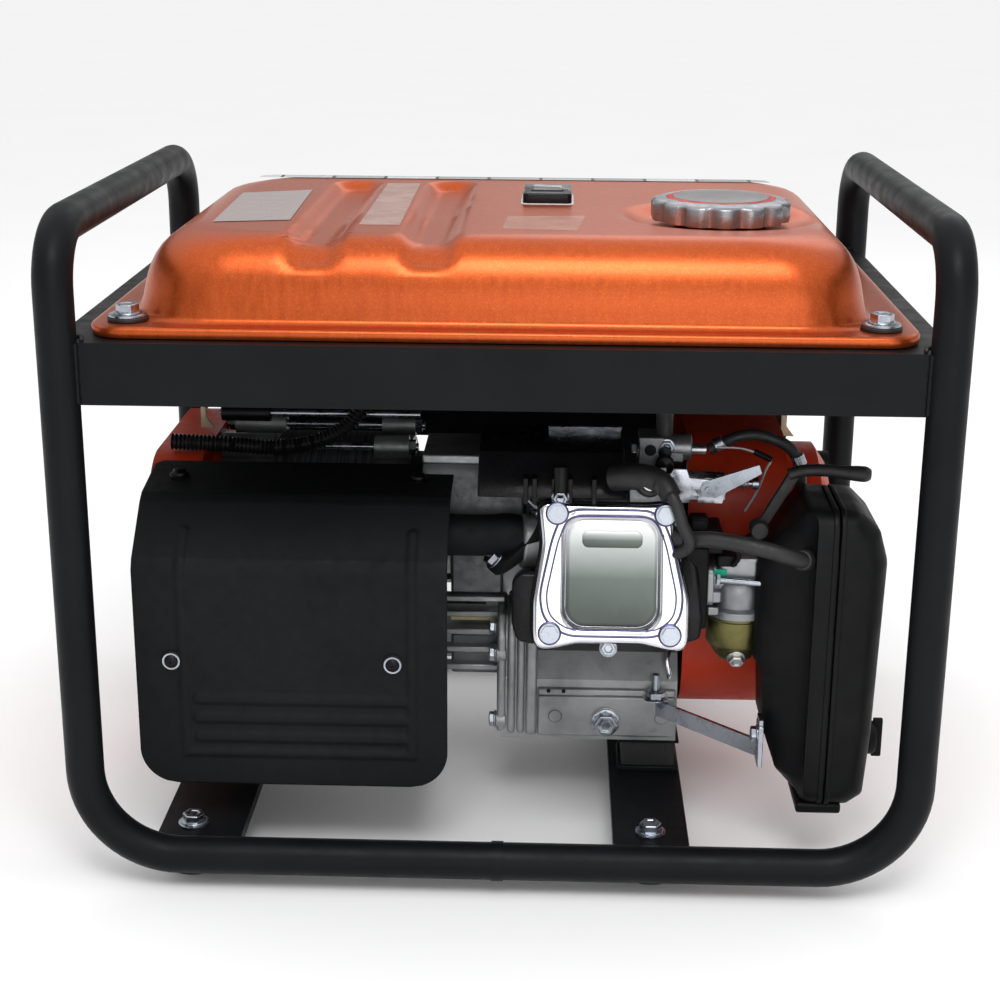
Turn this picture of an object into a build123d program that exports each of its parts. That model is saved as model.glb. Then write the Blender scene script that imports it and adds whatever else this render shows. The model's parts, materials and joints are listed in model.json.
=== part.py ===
from build123d import *
import math
import os

# Open-frame portable generator. Millimetres, +X towards the recoil starter, +Y towards the
# control panel, +Z up. The origin is on the ground under the middle of the frame.

# ---------------------------------------------------------------- driving dimensions
TUBE_R = 12.7                  # frame tube, 25.4 mm outside
TUBE_WALL = 1.5
FRAME_X = 278.0                # post centre lines
FRAME_Y = 202.5
RAIL_Z = 22.7                  # bottom rail centre line
HANDLE_Z = 447.9               # handle centre line
FOOT_BEND_R = 62.0
HANDLE_BEND_R = 38.0
SEAM = 8.0                     # gap between the two frame halves, filled by a collar

MEMBERS_X = ((-235.0, -177.0), (79.0, 131.0))   # alternator and engine cross members
MEMBER_TOP = 30.0
MEMBER_LEG = 5.0               # folded edge below the sheet
ENGINE_PADS = ((88.0, 127.0), ((-72.0, -36.0), (66.0, 102.0)), 57.0)         # X span, Y spans, top
GENERATOR_PADS = ((-212.0, -178.0), ((-12.0, 20.0), (44.0, 76.0)), 60.0)
FOOT_SPOTS = [(x, side * 171.0) for x in (-213.0, 105.0) for side in (-1, 1)]

BAR_TOP = 378.5                # tank rails
BAR_HEIGHT = 40.0
BAR_OUT_Y = 205.0
BAR_OUT_X = 282.0
BAR_LEG = 30.0
TAB_X = (224.0, 251.0)         # tabs for the tank bolts, either side of the middle
TAB_END = 154.0
SHEET = 3.0                    # thickness of channels and angles

TANK_X = (-240.0, 236.0)       # tank body at the flange
TANK_Y = 180.0
TANK_TOP = 440.0
FLANGE_X = (-263.0, 264.0)
FLANGE_Y = 194.0
FLANGE_TOP = 386.0
SKIN = 1.2                     # pressed sheet
TANK_BOTTOM = 345.0
TANK_CORNER = 55.0
FLANGE_CORNER = 22.0
PAN_INSET = 11.0
PAN_CORNER = 40.0
TANK_LEVELS = [(386, 0), (400, 2), (414, 5), (425, 9), (433, 14), (438, 20), (440, 28)]
TANK_BOLTS = [(x, y) for x in (-240.0, 240.0) for y in (-169.0, 169.0)]
GROOVES_X = ((-138.0, -103.0), (-65.0, -30.0))
GROOVE_END = 115.0
GROOVE_DEPTH = 7.0
GROOVE_R = 15.0
GROMMET_R = 12.0
GROMMET_NECK = 7.5
GROMMET_LIP = 2.5
WASHER_R = 11.75
M8_HOLE = 4.2
CAP_AT = (146.0, -48.0)
DISH_R = 60.0
NECK_R = 24.0
CAP_R = 48.0
CAP_LOBES = 14
NOTCH_R = 7.0                  # finger notches round the cap, and the circle they lie on
NOTCH_CIRCLE = 52.5
GAUGE_AT = (26.5, 22.0)
GAUGE_HALF = (17.5, 27.0)
GAUGE_STEM = 8.0

VALVE_AT = (111.0, 282.0)      # lever pivot, (X, Z)
VALVE_X = (93.0, 129.0)
VALVE_Y = (-92.0, -66.0)
VALVE_Z = (272.0, 292.0)
VALVE_SPOUT = (-84.0, 282.0)   # outlet line, (Y, Z)

CRANK = (32.0, 162.0)          # crank axis, (Y, Z)
CYL_X = 73.0                   # cylinder centre plane
CYL_TILT = 16.0                # degrees above level, leaning to -Y
BORE_R = 34.1
STROKE = 54.0
JOURNAL_R = 15.0
PTO_R = 12.5
FIT = 0.05                     # radial running clearance
CASE_X = (24.0, 127.0)
COVER_X = (-2.0, 24.0)
CASE_WALL = 8.0
CAM_AT = (52.0, 105.0)
CAM_R = 7.0
CAM_BOSS = 14.0
GEAR_X = (30.0, 36.0)
WEB_R = 38.0                   # crank webs
WEBS_X = ((52.0, 66.0), (80.0, 94.0))
PISTON_CROWN = 109.0           # from the crank axis
PISTON_LENGTH = 40.0
PIN_R = 8.0
ROD_EYES = (87.0, 3.0)         # small and big end, from the crank axis
ROD_BIG_BORE = 15.2
OIL_CAP_AT = (11.0, 95.0)
OIL_NECK = 11.0
ROCKER_FACE = 208.8            # distance from the crank axis
ROCKER_BOLTS = [(-40.0, -41.0), (40.0, -41.0), (-36.0, 39.0), (36.0, 39.0)]
PLUG_AT = (25.0, 60.0)         # spark plug, across the cylinder
BREATHER_AT = (-151.0, 241.0)
DRAIN_AT = (75.0, 73.0)
FIN = 2.5                      # thickness of the cooling fins
FIN_SIZE = (96.0, 94.0)
CRANK_GEAR_R = 20.0
FLYWHEEL_R = 82.0
FAN_BLADES = 16

SHROUD_X = (130.0, 200.0)
SHROUD_Y = (-75.0, 118.0)
SHROUD_Z = (72.0, 280.0)
RECOIL_X = (200.0, 240.0)
RECOIL_R = 92.0
RECOIL_VENTS = 12
REEL_R = 46.0
REEL_FLANGE = 56.0
REEL_PIN = 6.0
ROPE_AT = (221.0, 211.5)       # pull rope line, (X, Z)
ROPE_Y = (-18.0, 112.0)
ROPE_R = 1.75
GRIP_Y = 114.5
GRIP_R = 10.5
GRIP_HALF = 38.0

STATOR_X = (-175.0, -100.0)
STATOR_R = 95.0
STATOR_BORE = 66.0
ROTOR_R = 65.0
REAR_BELL_X = -215.0
FRONT_BELL_X = -74.0
BELL_WALL = 8.0
END_COVER_Y = (-66.0, 130.0)
END_COVER_Z = (64.0, 260.0)
END_COVER_X = (-258.0, -222.0)
BELL_R = 92.0
TIE_R = 100.0                  # tie rods, from the crank axis
TIE_LUG_R = 9.0
TIE_HOLE_R = 3.2
TIE_ANGLES = (18.6, 71.4, 108.6, 161.4)

AIR_Y = (-170.0, -95.0)
AIR_SEAM = 223.0
AIR_TOP = 263.0
AIR_STUD = (-132.0, 88.0)
KNOB_START = 254.2             # face of the knob, just clear of the cover
AIR_BASE = [(203, AIR_TOP), (190, 245), (176, 226), (173, 216), (176, 140), (184, 98), (191, 72),
            (211, 50), (AIR_SEAM, 48), (AIR_SEAM, AIR_TOP)]
AIR_COVER = [(AIR_SEAM, AIR_TOP), (238, AIR_TOP - 1), (250, 250), (257, 226), (254, 103), (251, 60),
             (240, 50), (AIR_SEAM, 48)]
CARB_AT = (-115.0, 199.0)      # throttle bore axis, (Y, Z)
THROAT_R = 10.0
BOWL_AT = (163.0, -115.0)
BOWL_R = 21.0
CHOKE_AT = (174.0, 240.0)      # choke lever pivot, (X, Z)
CHOKE_ELBOW = (196.0, 281.0)
THROTTLE_AT = (140.0, 262.0)
THROTTLE_PIN = 2.5

MUFFLER_X = (-240.0, -42.0)
MUFFLER_PROFILE = [(-150, 72), (-150, 222), (-126, 245), (-74, 245), (-74, 72)]
MUFFLER_INSIDE = [(-148.5, 73.5), (-148.5, 221), (-125.4, 243.5), (-75.5, 243.5), (-75.5, 73.5)]
MUFFLER_SHEET = 1.5
EXHAUST_AT = (-110.0, 225.0)
PIPE_R = 14.5
PIPE_BORE = 12.5
SHIELD_X = (-249.0, -36.0)
SHIELD_FRONT = [(-224.0, 150.0), (-73.0, 150.0)]
SHIELD_TOP = [-228.0, -60.0]
SHIELD_POST = 7.0

BOX_X = (-225.0, 225.0)
BOX_Y = (140.0, 196.0)
BOX_Z = (228.0, 335.0)
BOX_SHEET = 2.0
PANEL_FRONT = 199.0
FITTING_BACK = 176.0
THROUGH_PANEL = (190.0, 205.0)
OUTLETS = [(-165.0, 280.0), (-95.0, 280.0)]
METER_AT = (-20.0, 285.0)
ROUND_CUT = 24.0               # panel holes for the outlets and the meter
BREAKER_AT = (60.0, 282.0)
BREAKER_CUT = (9.0, 16.0)      # half widths of the panel holes
SWITCH_AT = (130.0, 282.0)
SWITCH_CUT = (11.0, 15.0)
ROCKER_PIN_Y = 194.0
EARTH_AT = (190.0, 246.0)


# ---------------------------------------------------------------- helpers
def plane_for(axis, span):
    """Sketch plane across a row axis; its sketch coordinates are the other two, in X, Y, Z order."""
    if axis == "x":
        return Plane((span[0], 0, 0), x_dir=(0, 1, 0), z_dir=(1, 0, 0))
    if axis == "y":
        return Plane((0, span[1], 0), x_dir=(1, 0, 0), z_dir=(0, -1, 0))
    return Plane((0, 0, span[0]), x_dir=(1, 0, 0), z_dir=(0, 0, 1))


def prism(axis, sketch, span):
    plane = plane_for(axis, span)
    return extrude(plane * sketch, amount=span[1] - span[0], dir=plane.z_dir)


def rod(axis, radius, span, at):
    return prism(axis, Pos(*at) * Circle(radius), span)


def ring(axis, outer, inner, span, at):
    return prism(axis, Pos(*at) * (Circle(outer) - Circle(inner)), span)


def block(x, y, z):
    size = (x[1] - x[0], y[1] - y[0], z[1] - z[0])
    return Pos((x[0] + x[1]) / 2, (y[0] + y[1]) / 2, (z[0] + z[1]) / 2) * Box(*size)


def rounded(u, v, radius):
    middle = Pos((u[0] + u[1]) / 2, (v[0] + v[1]) / 2)
    return middle * RectangleRounded(u[1] - u[0], v[1] - v[0], radius)


def outline(*points):
    return Polygon(*points, align=None)


def grow(span, by):
    return (span[0] - by, span[1] + by)


def around(middle, half):
    return (middle - half, middle + half)


def spin(shape, degrees):
    """Turned about the crank axis."""
    return shape.rotate(Axis((0, *CRANK), (1, 0, 0)), degrees)


def tie_spots():
    spots = []
    for angle in TIE_ANGLES:
        turn = math.radians(angle)
        spots.append((CRANK[0] + TIE_R * math.cos(turn), CRANK[1] + TIE_R * math.sin(turn)))
    return spots


def flange_bolt(seat, size, length):
    """Hex flange bolt whose head stands on the seat plane and whose shank goes below it."""
    flange = extrude(seat * Circle(size * 1.1), amount=size * 0.2)
    head = extrude(seat.offset(size * 0.2) * RegularPolygon(size * 0.95, 6), amount=size * 0.6)
    shank = extrude(seat * Circle(size / 2), amount=-length)
    return flange + head + shank


def bend_radii(points):
    """Largest tangent arcs that fit: 0.45 of the shorter run at each corner."""
    radii = []
    for before, corner, after in zip(points, points[1:], points[2:]):
        run_in = Vector(*corner) - Vector(*before)
        run_out = Vector(*after) - Vector(*corner)
        half_turn = math.radians(run_in.get_angle(run_out)) / 2
        radii.append(0.45 * min(run_in.length, run_out.length) / math.tan(half_turn))
    return radii


def hose(name, points, radius):
    radii = bend_radii(points)
    path = FilletPolyline(*points, radius=radii)
    solid = sweep(Plane(path @ 0, z_dir=path % 0) * Circle(radius), path=path)
    expected = math.pi * radius ** 2 * path.length
    print(name, "radii", [round(r) for r in radii], "length", round(path.length),
          "volume ratio", round(solid.volume / expected, 4))
    return solid


def cylinder_plane(along=0.0):
    """Plane across the cylinder: local x is X, local y points up, z runs out to the head."""
    tilt = math.radians(CYL_TILT)
    axis = Vector(0, -math.cos(tilt), math.sin(tilt))
    start = Vector(CYL_X, *CRANK) + axis * along
    return Plane(tuple(start), x_dir=(1, 0, 0), z_dir=tuple(axis))


def barrel(sketch, low, high):
    return extrude(cylinder_plane(low) * sketch, amount=high - low)


# ---------------------------------------------------------------- frame
def frame_path(side):
    near, inner = -FRAME_Y, side * SEAM / 2
    corners = [(inner, near, RAIL_Z), (side * FRAME_X, near, RAIL_Z), (side * FRAME_X, near, HANDLE_Z),
               (side * FRAME_X, FRAME_Y, HANDLE_Z), (side * FRAME_X, FRAME_Y, RAIL_Z),
               (inner, FRAME_Y, RAIL_Z)]
    bends = [FOOT_BEND_R, HANDLE_BEND_R, HANDLE_BEND_R, FOOT_BEND_R]
    return FilletPolyline(*corners, radius=bends)


def along_frame(side, section):
    path = frame_path(side)
    return sweep(Plane(path @ 0, z_dir=path % 0) * section, path=path)


def frame_tube(side):
    return along_frame(side, Circle(TUBE_R) - Circle(TUBE_R - TUBE_WALL))


def frame_left():
    """Left tube with the two joining sleeves that are welded into its ends."""
    return Compound([frame_tube(-1), *rail_sleeves()])


def rail_sleeves():
    parts = []
    for y in (-FRAME_Y, FRAME_Y):
        spigot = ring("x", TUBE_R - TUBE_WALL, TUBE_R - 2 * TUBE_WALL, (-30, 30), (y, RAIL_Z))
        collar = ring("x", TUBE_R + 0.8, TUBE_R - TUBE_WALL, (-SEAM / 2, SEAM / 2), (y, RAIL_Z))
        parts.append(spigot + collar)
    return parts


def cross_member(x, mount_slots):
    plate = block(x, (-FRAME_Y, FRAME_Y), (MEMBER_TOP - SHEET, MEMBER_TOP))
    leg_z = (MEMBER_TOP - SHEET - MEMBER_LEG, MEMBER_TOP - SHEET)
    legs = [block(leg, (-FRAME_Y, FRAME_Y), leg_z)
            for leg in ((x[0], x[0] + SHEET), (x[1] - SHEET, x[1]))]
    member = plate + legs
    member -= along_frame(-1 if x[1] < 0 else 1, Circle(TUBE_R))
    for spot in mount_slots:
        member -= rod("z", M8_HOLE, (MEMBER_TOP - 2 * SHEET, MEMBER_TOP + 1), spot)
    return member


def cross_members():
    members = []
    for x in MEMBERS_X:
        members.append(cross_member(x, [spot for spot in FOOT_SPOTS if x[0] < spot[0] < x[1]]))
    return Compound(members)


def rubber_foot(spot):
    top = MEMBER_TOP - SHEET
    body = loft([Plane((*spot, 0)) * Circle(19), Plane((*spot, 20)) * Circle(16)])
    body += rod("z", 14, (20, top), spot)
    body -= rod("z", 8, (0, 6), spot)
    return body - rod("z", 4.05, (5, top + 1), spot)


def rubber_feet():
    return Compound([rubber_foot(spot) for spot in FOOT_SPOTS])


def foot_bolts():
    seats = [Plane((*spot, MEMBER_TOP)) for spot in FOOT_SPOTS]
    return [flange_bolt(seat, 8, 20) for seat in seats]


def vibration_mounts():
    pads = []
    for x, spans, top in (ENGINE_PADS, GENERATOR_PADS):
        pads += [block(x, y, (MEMBER_TOP, top)) for y in spans]
    return Compound(pads)


def post_space():
    corners = [(x, y) for x in (-FRAME_X, FRAME_X) for y in (-FRAME_Y, FRAME_Y)]
    return [rod("z", TUBE_R, (BAR_TOP - 2 * BAR_HEIGHT, BAR_TOP + BAR_HEIGHT), spot) for spot in corners]


def long_tank_rail(side):
    """Angle bar between two posts, with a tab at each end for the tank bolts."""
    outer, inner = BAR_OUT_Y, BAR_OUT_Y - BAR_LEG

    def y_span(a, b):
        return tuple(sorted((side * a, side * b)))

    leg_x = (-FRAME_X, FRAME_X)
    bar = block(leg_x, y_span(outer, outer - SHEET), (BAR_TOP - BAR_HEIGHT, BAR_TOP))
    bar += block(leg_x, y_span(outer, inner), (BAR_TOP - SHEET, BAR_TOP))
    for end in (-1, 1):
        tab_x = tuple(sorted((end * TAB_X[0], end * TAB_X[1])))
        bar += block(tab_x, y_span(inner, TAB_END), (BAR_TOP - SHEET, BAR_TOP))
    for post in post_space():
        bar -= post
    for spot in TANK_BOLTS:
        bar -= rod("z", 4.3, (BAR_TOP - 10, BAR_TOP + 1), spot)
    return bar


def long_tank_rails():
    return Compound([long_tank_rail(-1), long_tank_rail(1)])


def side_tank_rails():
    inner_y = BAR_OUT_Y - BAR_LEG
    rails = []
    for side in (-1, 1):
        wall = tuple(sorted((side * BAR_OUT_X, side * (BAR_OUT_X - SHEET))))
        shelf = tuple(sorted((side * BAR_OUT_X, side * (BAR_OUT_X - BAR_LEG))))
        rails.append(block(wall, (-inner_y, inner_y), (BAR_TOP - BAR_HEIGHT, BAR_TOP))
                     + block(shelf, (-inner_y, inner_y), (BAR_TOP - SHEET, BAR_TOP)))
    return Compound(rails)


# ---------------------------------------------------------------- fuel tank
def tank_form(inset):
    """Closed body of the tank's upper half, shrunk all round by inset."""
    sections = []
    for level, step in TANK_LEVELS:
        shape = rounded(grow(TANK_X, -step - inset), around(0, TANK_Y - step - inset), TANK_CORNER - inset)
        sections.append(Plane((0, 0, level - inset)) * shape)
    return loft(sections, ruled=True)


def pressed_recesses(extra):
    """Cap dish and the two long grooves, grown by extra for the inner skin."""
    floor = TANK_TOP - GROOVE_DEPTH - extra
    cut = rod("z", DISH_R + extra, (floor, TANK_TOP + 1), CAP_AT)
    for span in GROOVES_X:
        shape = rounded(grow(span, extra), (-TANK_Y - 30, GROOVE_END + extra), GROOVE_R + extra)
        cut += prism("z", shape, (floor, TANK_TOP + 1))
    return cut


def tank_upper():
    skin = (tank_form(0) - pressed_recesses(0)) - (tank_form(SKIN) - pressed_recesses(SKIN))
    flange_low = FLANGE_TOP - SKIN
    edge = rounded(FLANGE_X, around(0, FLANGE_Y), FLANGE_CORNER)
    flange = prism("z", edge, (flange_low, FLANGE_TOP))
    mouth = rounded(grow(TANK_X, -SKIN), around(0, TANK_Y - SKIN), TANK_CORNER - SKIN)
    flange -= prism("z", mouth, (flange_low, FLANGE_TOP))
    rim = edge - rounded(grow(FLANGE_X, -SKIN), around(0, FLANGE_Y - SKIN), FLANGE_CORNER - SKIN)
    tank = skin + flange + prism("z", rim, (BAR_TOP + 1, flange_low))
    for spot in TANK_BOLTS:
        tank -= rod("z", GROMMET_NECK + 0.1, (BAR_TOP, FLANGE_TOP + 1), spot)
    dish_floor = TANK_TOP - GROOVE_DEPTH
    tank -= rod("z", NECK_R, (dish_floor - 5, TANK_TOP), CAP_AT)
    tank += ring("z", NECK_R, NECK_R - SKIN, (dish_floor - 18, TANK_TOP), CAP_AT)
    return tank - rod("z", GAUGE_STEM + 0.3, (TANK_TOP - 5, TANK_TOP + 1), GAUGE_AT)


def tank_lower():
    top = FLANGE_TOP - SKIN
    pan_x, pan_y = grow(TANK_X, -PAN_INSET), around(0, TANK_Y - PAN_INSET)
    pan = prism("z", rounded(pan_x, pan_y, PAN_CORNER), (TANK_BOTTOM, top))
    rim = rounded(grow(FLANGE_X, -1.5), around(0, FLANGE_Y - 1.5), FLANGE_CORNER - 2)
    pan += prism("z", rim, (top - SKIN, top))
    hollow = rounded(grow(pan_x, -SKIN), grow(pan_y, -SKIN), PAN_CORNER - SKIN)
    pan -= prism("z", hollow, (TANK_BOTTOM + SKIN, top))
    for spot in TANK_BOLTS:
        pan -= rod("z", GROMMET_NECK + 0.1, (top - 5, top + 1), spot)
    return pan


def tank_grommets():
    base, top = BAR_TOP, FLANGE_TOP
    grommets = []
    for spot in TANK_BOLTS:
        body = rod("z", GROMMET_R, (base, top - 2 * SKIN), spot)
        body += rod("z", GROMMET_NECK, (base, top), spot)
        body += rod("z", GROMMET_R, (top, top + GROMMET_LIP), spot)
        grommets.append(body - rod("z", M8_HOLE, (base - 1, top + 4), spot))
    return Compound(grommets)


def tank_bolts():
    washer_low = FLANGE_TOP + GROMMET_LIP
    solids = []
    for spot in TANK_BOLTS:
        solids.append(ring("z", WASHER_R, M8_HOLE + 0.1, (washer_low, washer_low + 1.5), spot))
        solids.append(flange_bolt(Plane((*spot, washer_low + 1.5)), 8, 22))
        nut_span = (BAR_TOP - SHEET - 6.5, BAR_TOP - SHEET)
        solids.append(prism("z", Pos(*spot) * (RegularPolygon(7.5, 6) - Circle(4.05)), nut_span))
    return Compound(solids)


def fuel_gauge():
    x, y = GAUGE_AT
    size = (around(x, GAUGE_HALF[0]), around(y, GAUGE_HALF[1]))
    body = prism("z", rounded(*size, 4), (TANK_TOP, TANK_TOP + 8))
    window = prism("z", rounded((x - 11, x + 11), (y - 15, y + 12), 2), (TANK_TOP + 6, TANK_TOP + 9))
    stem = rod("z", GAUGE_STEM, (TANK_TOP - 14, TANK_TOP), GAUGE_AT)
    return body - window + stem


def fuel_cap_insert():
    plug = rod("z", NECK_R - SKIN - FIT, (TANK_TOP - 18, TANK_TOP), CAP_AT)
    plug -= rod("z", NECK_R - SKIN - 3, (TANK_TOP - 19, TANK_TOP - 3), CAP_AT)
    seal = rod("z", 26, (TANK_TOP, TANK_TOP + 3), CAP_AT)
    return plug + seal + rod("z", 8, (TANK_TOP + 3, TANK_TOP + 8.7), CAP_AT)


def fuel_cap_shell():
    skirt_low, brow, crown = TANK_TOP - 3, TANK_TOP + 9, TANK_TOP + 14.5
    body = rod("z", CAP_R, (skirt_low, brow), CAP_AT)
    body += loft([Plane((*CAP_AT, brow)) * Circle(CAP_R - 2), Plane((*CAP_AT, crown)) * Circle(CAP_R - 15)])
    body -= rod("z", CAP_R - 5, (skirt_low - 1, brow), CAP_AT)
    for i in range(CAP_LOBES):
        turn = math.radians(360 * i / CAP_LOBES)
        notch_at = (CAP_AT[0] + NOTCH_CIRCLE * math.cos(turn), CAP_AT[1] + NOTCH_CIRCLE * math.sin(turn))
        body -= rod("z", NOTCH_R, (skirt_low - 1, crown + 1), notch_at)
    return body


def fuel_valve():
    body = block(VALVE_X, VALVE_Y, VALVE_Z)
    stem = rod("z", 6, (VALVE_Z[1], TANK_BOTTOM), (VALVE_AT[0], sum(VALVE_Y) / 2))
    outlet = rod("x", 4, (VALVE_X[1], VALVE_X[1] + 11), VALVE_SPOUT)
    return body + stem + outlet - rod("x", 2.5, (VALVE_AT[0] - 1, VALVE_X[1] + 12), VALVE_SPOUT)


def fuel_valve_lever():
    face = VALVE_Y[0] - 6.5
    knob = rod("y", 9, (face, VALVE_Y[0] - 0.3), VALVE_AT)
    finger = block((VALVE_AT[0] - 27, VALVE_AT[0]), (face, face + 4), around(VALVE_AT[1], 3.5))
    return knob + finger


def fuel_hose():
    route = [(142, -84, 282), (170, -84, 296), (203, -84, 284), (209, -84, 254), (193, -85, 231),
             (172, -86, 216), (162, -93.5, 210)]
    return hose("fuel_hose", route, 4)


# ---------------------------------------------------------------- engine block
CASE_OUTLINE = [(-78, 57), (108, 57), (122, 72), (122, 215), (100, 246), (20, 252), (-19.6, 228.8),
                (-47.2, 132.6), (-66, 122), (-78, 104)]
CASE_CAVITY = [(-71, 64), (105, 64), (115, 75), (115, 212), (97, 239), (22, 244), (-12, 224),
               (-40, 127), (-61, 116), (-71, 101)]


def crankcase():
    cavity_x = (CASE_X[0], CASE_X[1] - CASE_WALL)
    case = prism("x", outline(*CASE_OUTLINE), CASE_X) - prism("x", outline(*CASE_CAVITY), cavity_x)
    case += rod("x", CAM_BOSS, (cavity_x[1] - 8, cavity_x[1]), CAM_AT)
    case -= rod("x", CAM_R + FIT, (cavity_x[1] - 9, cavity_x[1]), CAM_AT)
    case -= rod("x", JOURNAL_R + FIT, (cavity_x[1] - 1, CASE_X[1] + 1), CRANK)
    case -= barrel(Circle(BORE_R + 7), 40, 80)
    return case - rod("y", 5.1, (-79, -64), DRAIN_AT)


def crankcase_cover():
    cover = prism("x", outline(*CASE_OUTLINE), COVER_X)
    cover -= prism("x", outline(*CASE_CAVITY), (COVER_X[0] + 10, COVER_X[1]))
    cover += rod("x", CAM_BOSS, (COVER_X[0] + 10, COVER_X[0] + 18), CAM_AT)
    cover -= rod("x", CAM_R + FIT, (COVER_X[0] + 9, COVER_X[0] + 19), CAM_AT)
    cover -= rod("x", JOURNAL_R + FIT, grow(COVER_X, 1), CRANK)
    return cover - rod("y", OIL_NECK, (100, 125), OIL_CAP_AT)


def cylinder():
    liner = barrel(Circle(41), 60, 141)
    flange = barrel(RectangleRounded(98, 98, 10), 68.3, 74)
    body = liner + flange
    for step in range(8):
        low = 78 + 8 * step
        body += barrel(RectangleRounded(*FIN_SIZE, 10), low, low + FIN)
    return body - barrel(Circle(BORE_R), 50, 150)


def cylinder_head():
    head = barrel(RectangleRounded(*FIN_SIZE, 8), 141, 149) + barrel(Rectangle(74, 80), 149, 180)
    head += barrel(RectangleRounded(96, 92, 8), 180, 186)
    for step in range(3):
        low = 154 + 9 * step
        head += barrel(RectangleRounded(*FIN_SIZE, 10), low, low + FIN)
    head += barrel(Pos(25, 55) * Rectangle(24, 30), 150, 186)
    head += rod("x", 16, (22, 30), EXHAUST_AT) + rod("x", 14.5, (116, 124), CARB_AT)
    head -= rod("x", PIPE_BORE, (21, 45), EXHAUST_AT)
    head -= rod("x", THROAT_R, (101, 125), CARB_AT)
    head -= barrel(Pos(*PLUG_AT) * Circle(7.1), 158, 187)
    return head


def rocker_cover():
    rim = RectangleRounded(86, 86, 12) + [Pos(x, y) * Circle(11) for x, y in ROCKER_BOLTS]
    cover = barrel(rim, 186, 189) + barrel(RectangleRounded(80, 82, 12), 189, ROCKER_FACE)
    cover -= barrel(RectangleRounded(77, 79, 10.5), 186, ROCKER_FACE - 1.3)
    dish_wall = RectangleRounded(66, 70, 12) - RectangleRounded(63.4, 67.4, 10.7)
    cover -= barrel(RectangleRounded(64, 68, 11), 204, ROCKER_FACE + 1)
    cover += barrel(RectangleRounded(66, 70, 12), 202.5, 204) + barrel(dish_wall, 204, ROCKER_FACE)
    ears = [barrel(Pos(x, y) * Circle(9), 189, ROCKER_FACE) for x, y in ROCKER_BOLTS]
    cover += ears
    for x, y in ROCKER_BOLTS:
        cover -= barrel(Pos(x, y) * Circle(3.2), 180, 212)
    return cover + rod("x", 5, (112, 119), BREATHER_AT)


def engine_bolts():
    seat = cylinder_plane(ROCKER_FACE)
    bolts = [flange_bolt(Plane(seat * Pos(x, y)), 6, 22.8) for x, y in ROCKER_BOLTS]
    bolts.append(flange_bolt(Plane((DRAIN_AT[0], -78, DRAIN_AT[1]), z_dir=(0, -1, 0)), 10, 10))
    for spot in tie_spots():
        stud = rod("x", 3, (REAR_BELL_X - 7, FRONT_BELL_X + 7), spot)
        stud += prism("x", Pos(*spot) * RegularPolygon(6, 6), (REAR_BELL_X - 5, REAR_BELL_X))
        stud += prism("x", Pos(*spot) * RegularPolygon(6, 6), (FRONT_BELL_X, FRONT_BELL_X + 5))
        bolts.append(stud)
    return bolts


def hex_bolts():
    return Compound(foot_bolts() + engine_bolts() + shield_screws())


# ---------------------------------------------------------------- moving engine parts
def crankshaft():
    left_web, right_web = WEBS_X
    left = rod("x", JOURNAL_R, (-14, left_web[0]), CRANK) + rod("x", WEB_R, left_web, CRANK)
    left += rod("x", CRANK_GEAR_R, GEAR_X, CRANK)
    right = rod("x", WEB_R, right_web, CRANK) + rod("x", JOURNAL_R, (right_web[1], 129), CRANK)
    right += rod("x", PTO_R, (129, 206), CRANK)
    return Compound([left, right])


def camshaft():
    shaft = rod("x", CAM_R, (9, 118.5), CAM_AT)
    distance = math.dist(CRANK, CAM_AT)
    shaft += rod("x", distance - CRANK_GEAR_R - 0.3, GEAR_X, CAM_AT)
    for low in (56, 84):
        shaft += rod("x", 10.5, (low, low + 9), CAM_AT)
    return shaft


def piston():
    foot = PISTON_CROWN - PISTON_LENGTH
    body = barrel(Circle(BORE_R - FIT), foot, PISTON_CROWN) - barrel(Circle(28), foot - 1, PISTON_CROWN - 8)
    return body + rod("x", PIN_R, around(CYL_X, 30), crank_offset(ROD_EYES[0]))


def crank_offset(along):
    tilt = math.radians(CYL_TILT)
    return (CRANK[0] - along * math.cos(tilt), CRANK[1] + along * math.sin(tilt))


def connecting_rod():
    small, big = [crank_offset(along) for along in ROD_EYES]
    width = around(CYL_X, 6)
    body = rod("x", 13, width, small) + rod("x", 23, width, big)
    normal = cylinder_plane().y_dir
    shank = [Vector(0, *small) + normal * 7, Vector(0, *big) + normal * 9,
             Vector(0, *big) - normal * 9, Vector(0, *small) - normal * 7]
    body += prism("x", outline(*[(p.Y, p.Z) for p in shank]), around(CYL_X, 4))
    return body - rod("x", PIN_R + FIT, width, small) - rod("x", ROD_BIG_BORE, width, big)


def flywheel():
    wheel = rod("x", FLYWHEEL_R, (150, 162), CRANK)
    wheel += ring("x", FLYWHEEL_R, FLYWHEEL_R - 14, (140, 150), CRANK)
    wheel += rod("x", 22, (140, 188), CRANK)
    blade = block((162, 186), (CRANK[0] + 42, CRANK[0] + FLYWHEEL_R - 2), around(CRANK[1], 1.5))
    for i in range(FAN_BLADES):
        wheel += spin(blade, 360 * i / FAN_BLADES)
    wheel += ring("x", 34, 31, (186, 204), CRANK) + rod("x", 34, (183, 186), CRANK)
    return wheel - rod("x", PTO_R, (130, 210), CRANK)


# ---------------------------------------------------------------- cooling and starter
def fan_shroud():
    wall = 1.5
    shell = prism("x", rounded(SHROUD_Y, SHROUD_Z, 50), SHROUD_X)
    hollow = rounded(grow(SHROUD_Y, -wall), grow(SHROUD_Z, -wall), 50 - wall)
    shell -= prism("x", hollow, (SHROUD_X[0], SHROUD_X[1] - wall))
    return shell - rod("x", 80, (SHROUD_X[1] - 2, SHROUD_X[1] + 1), CRANK)


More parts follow.
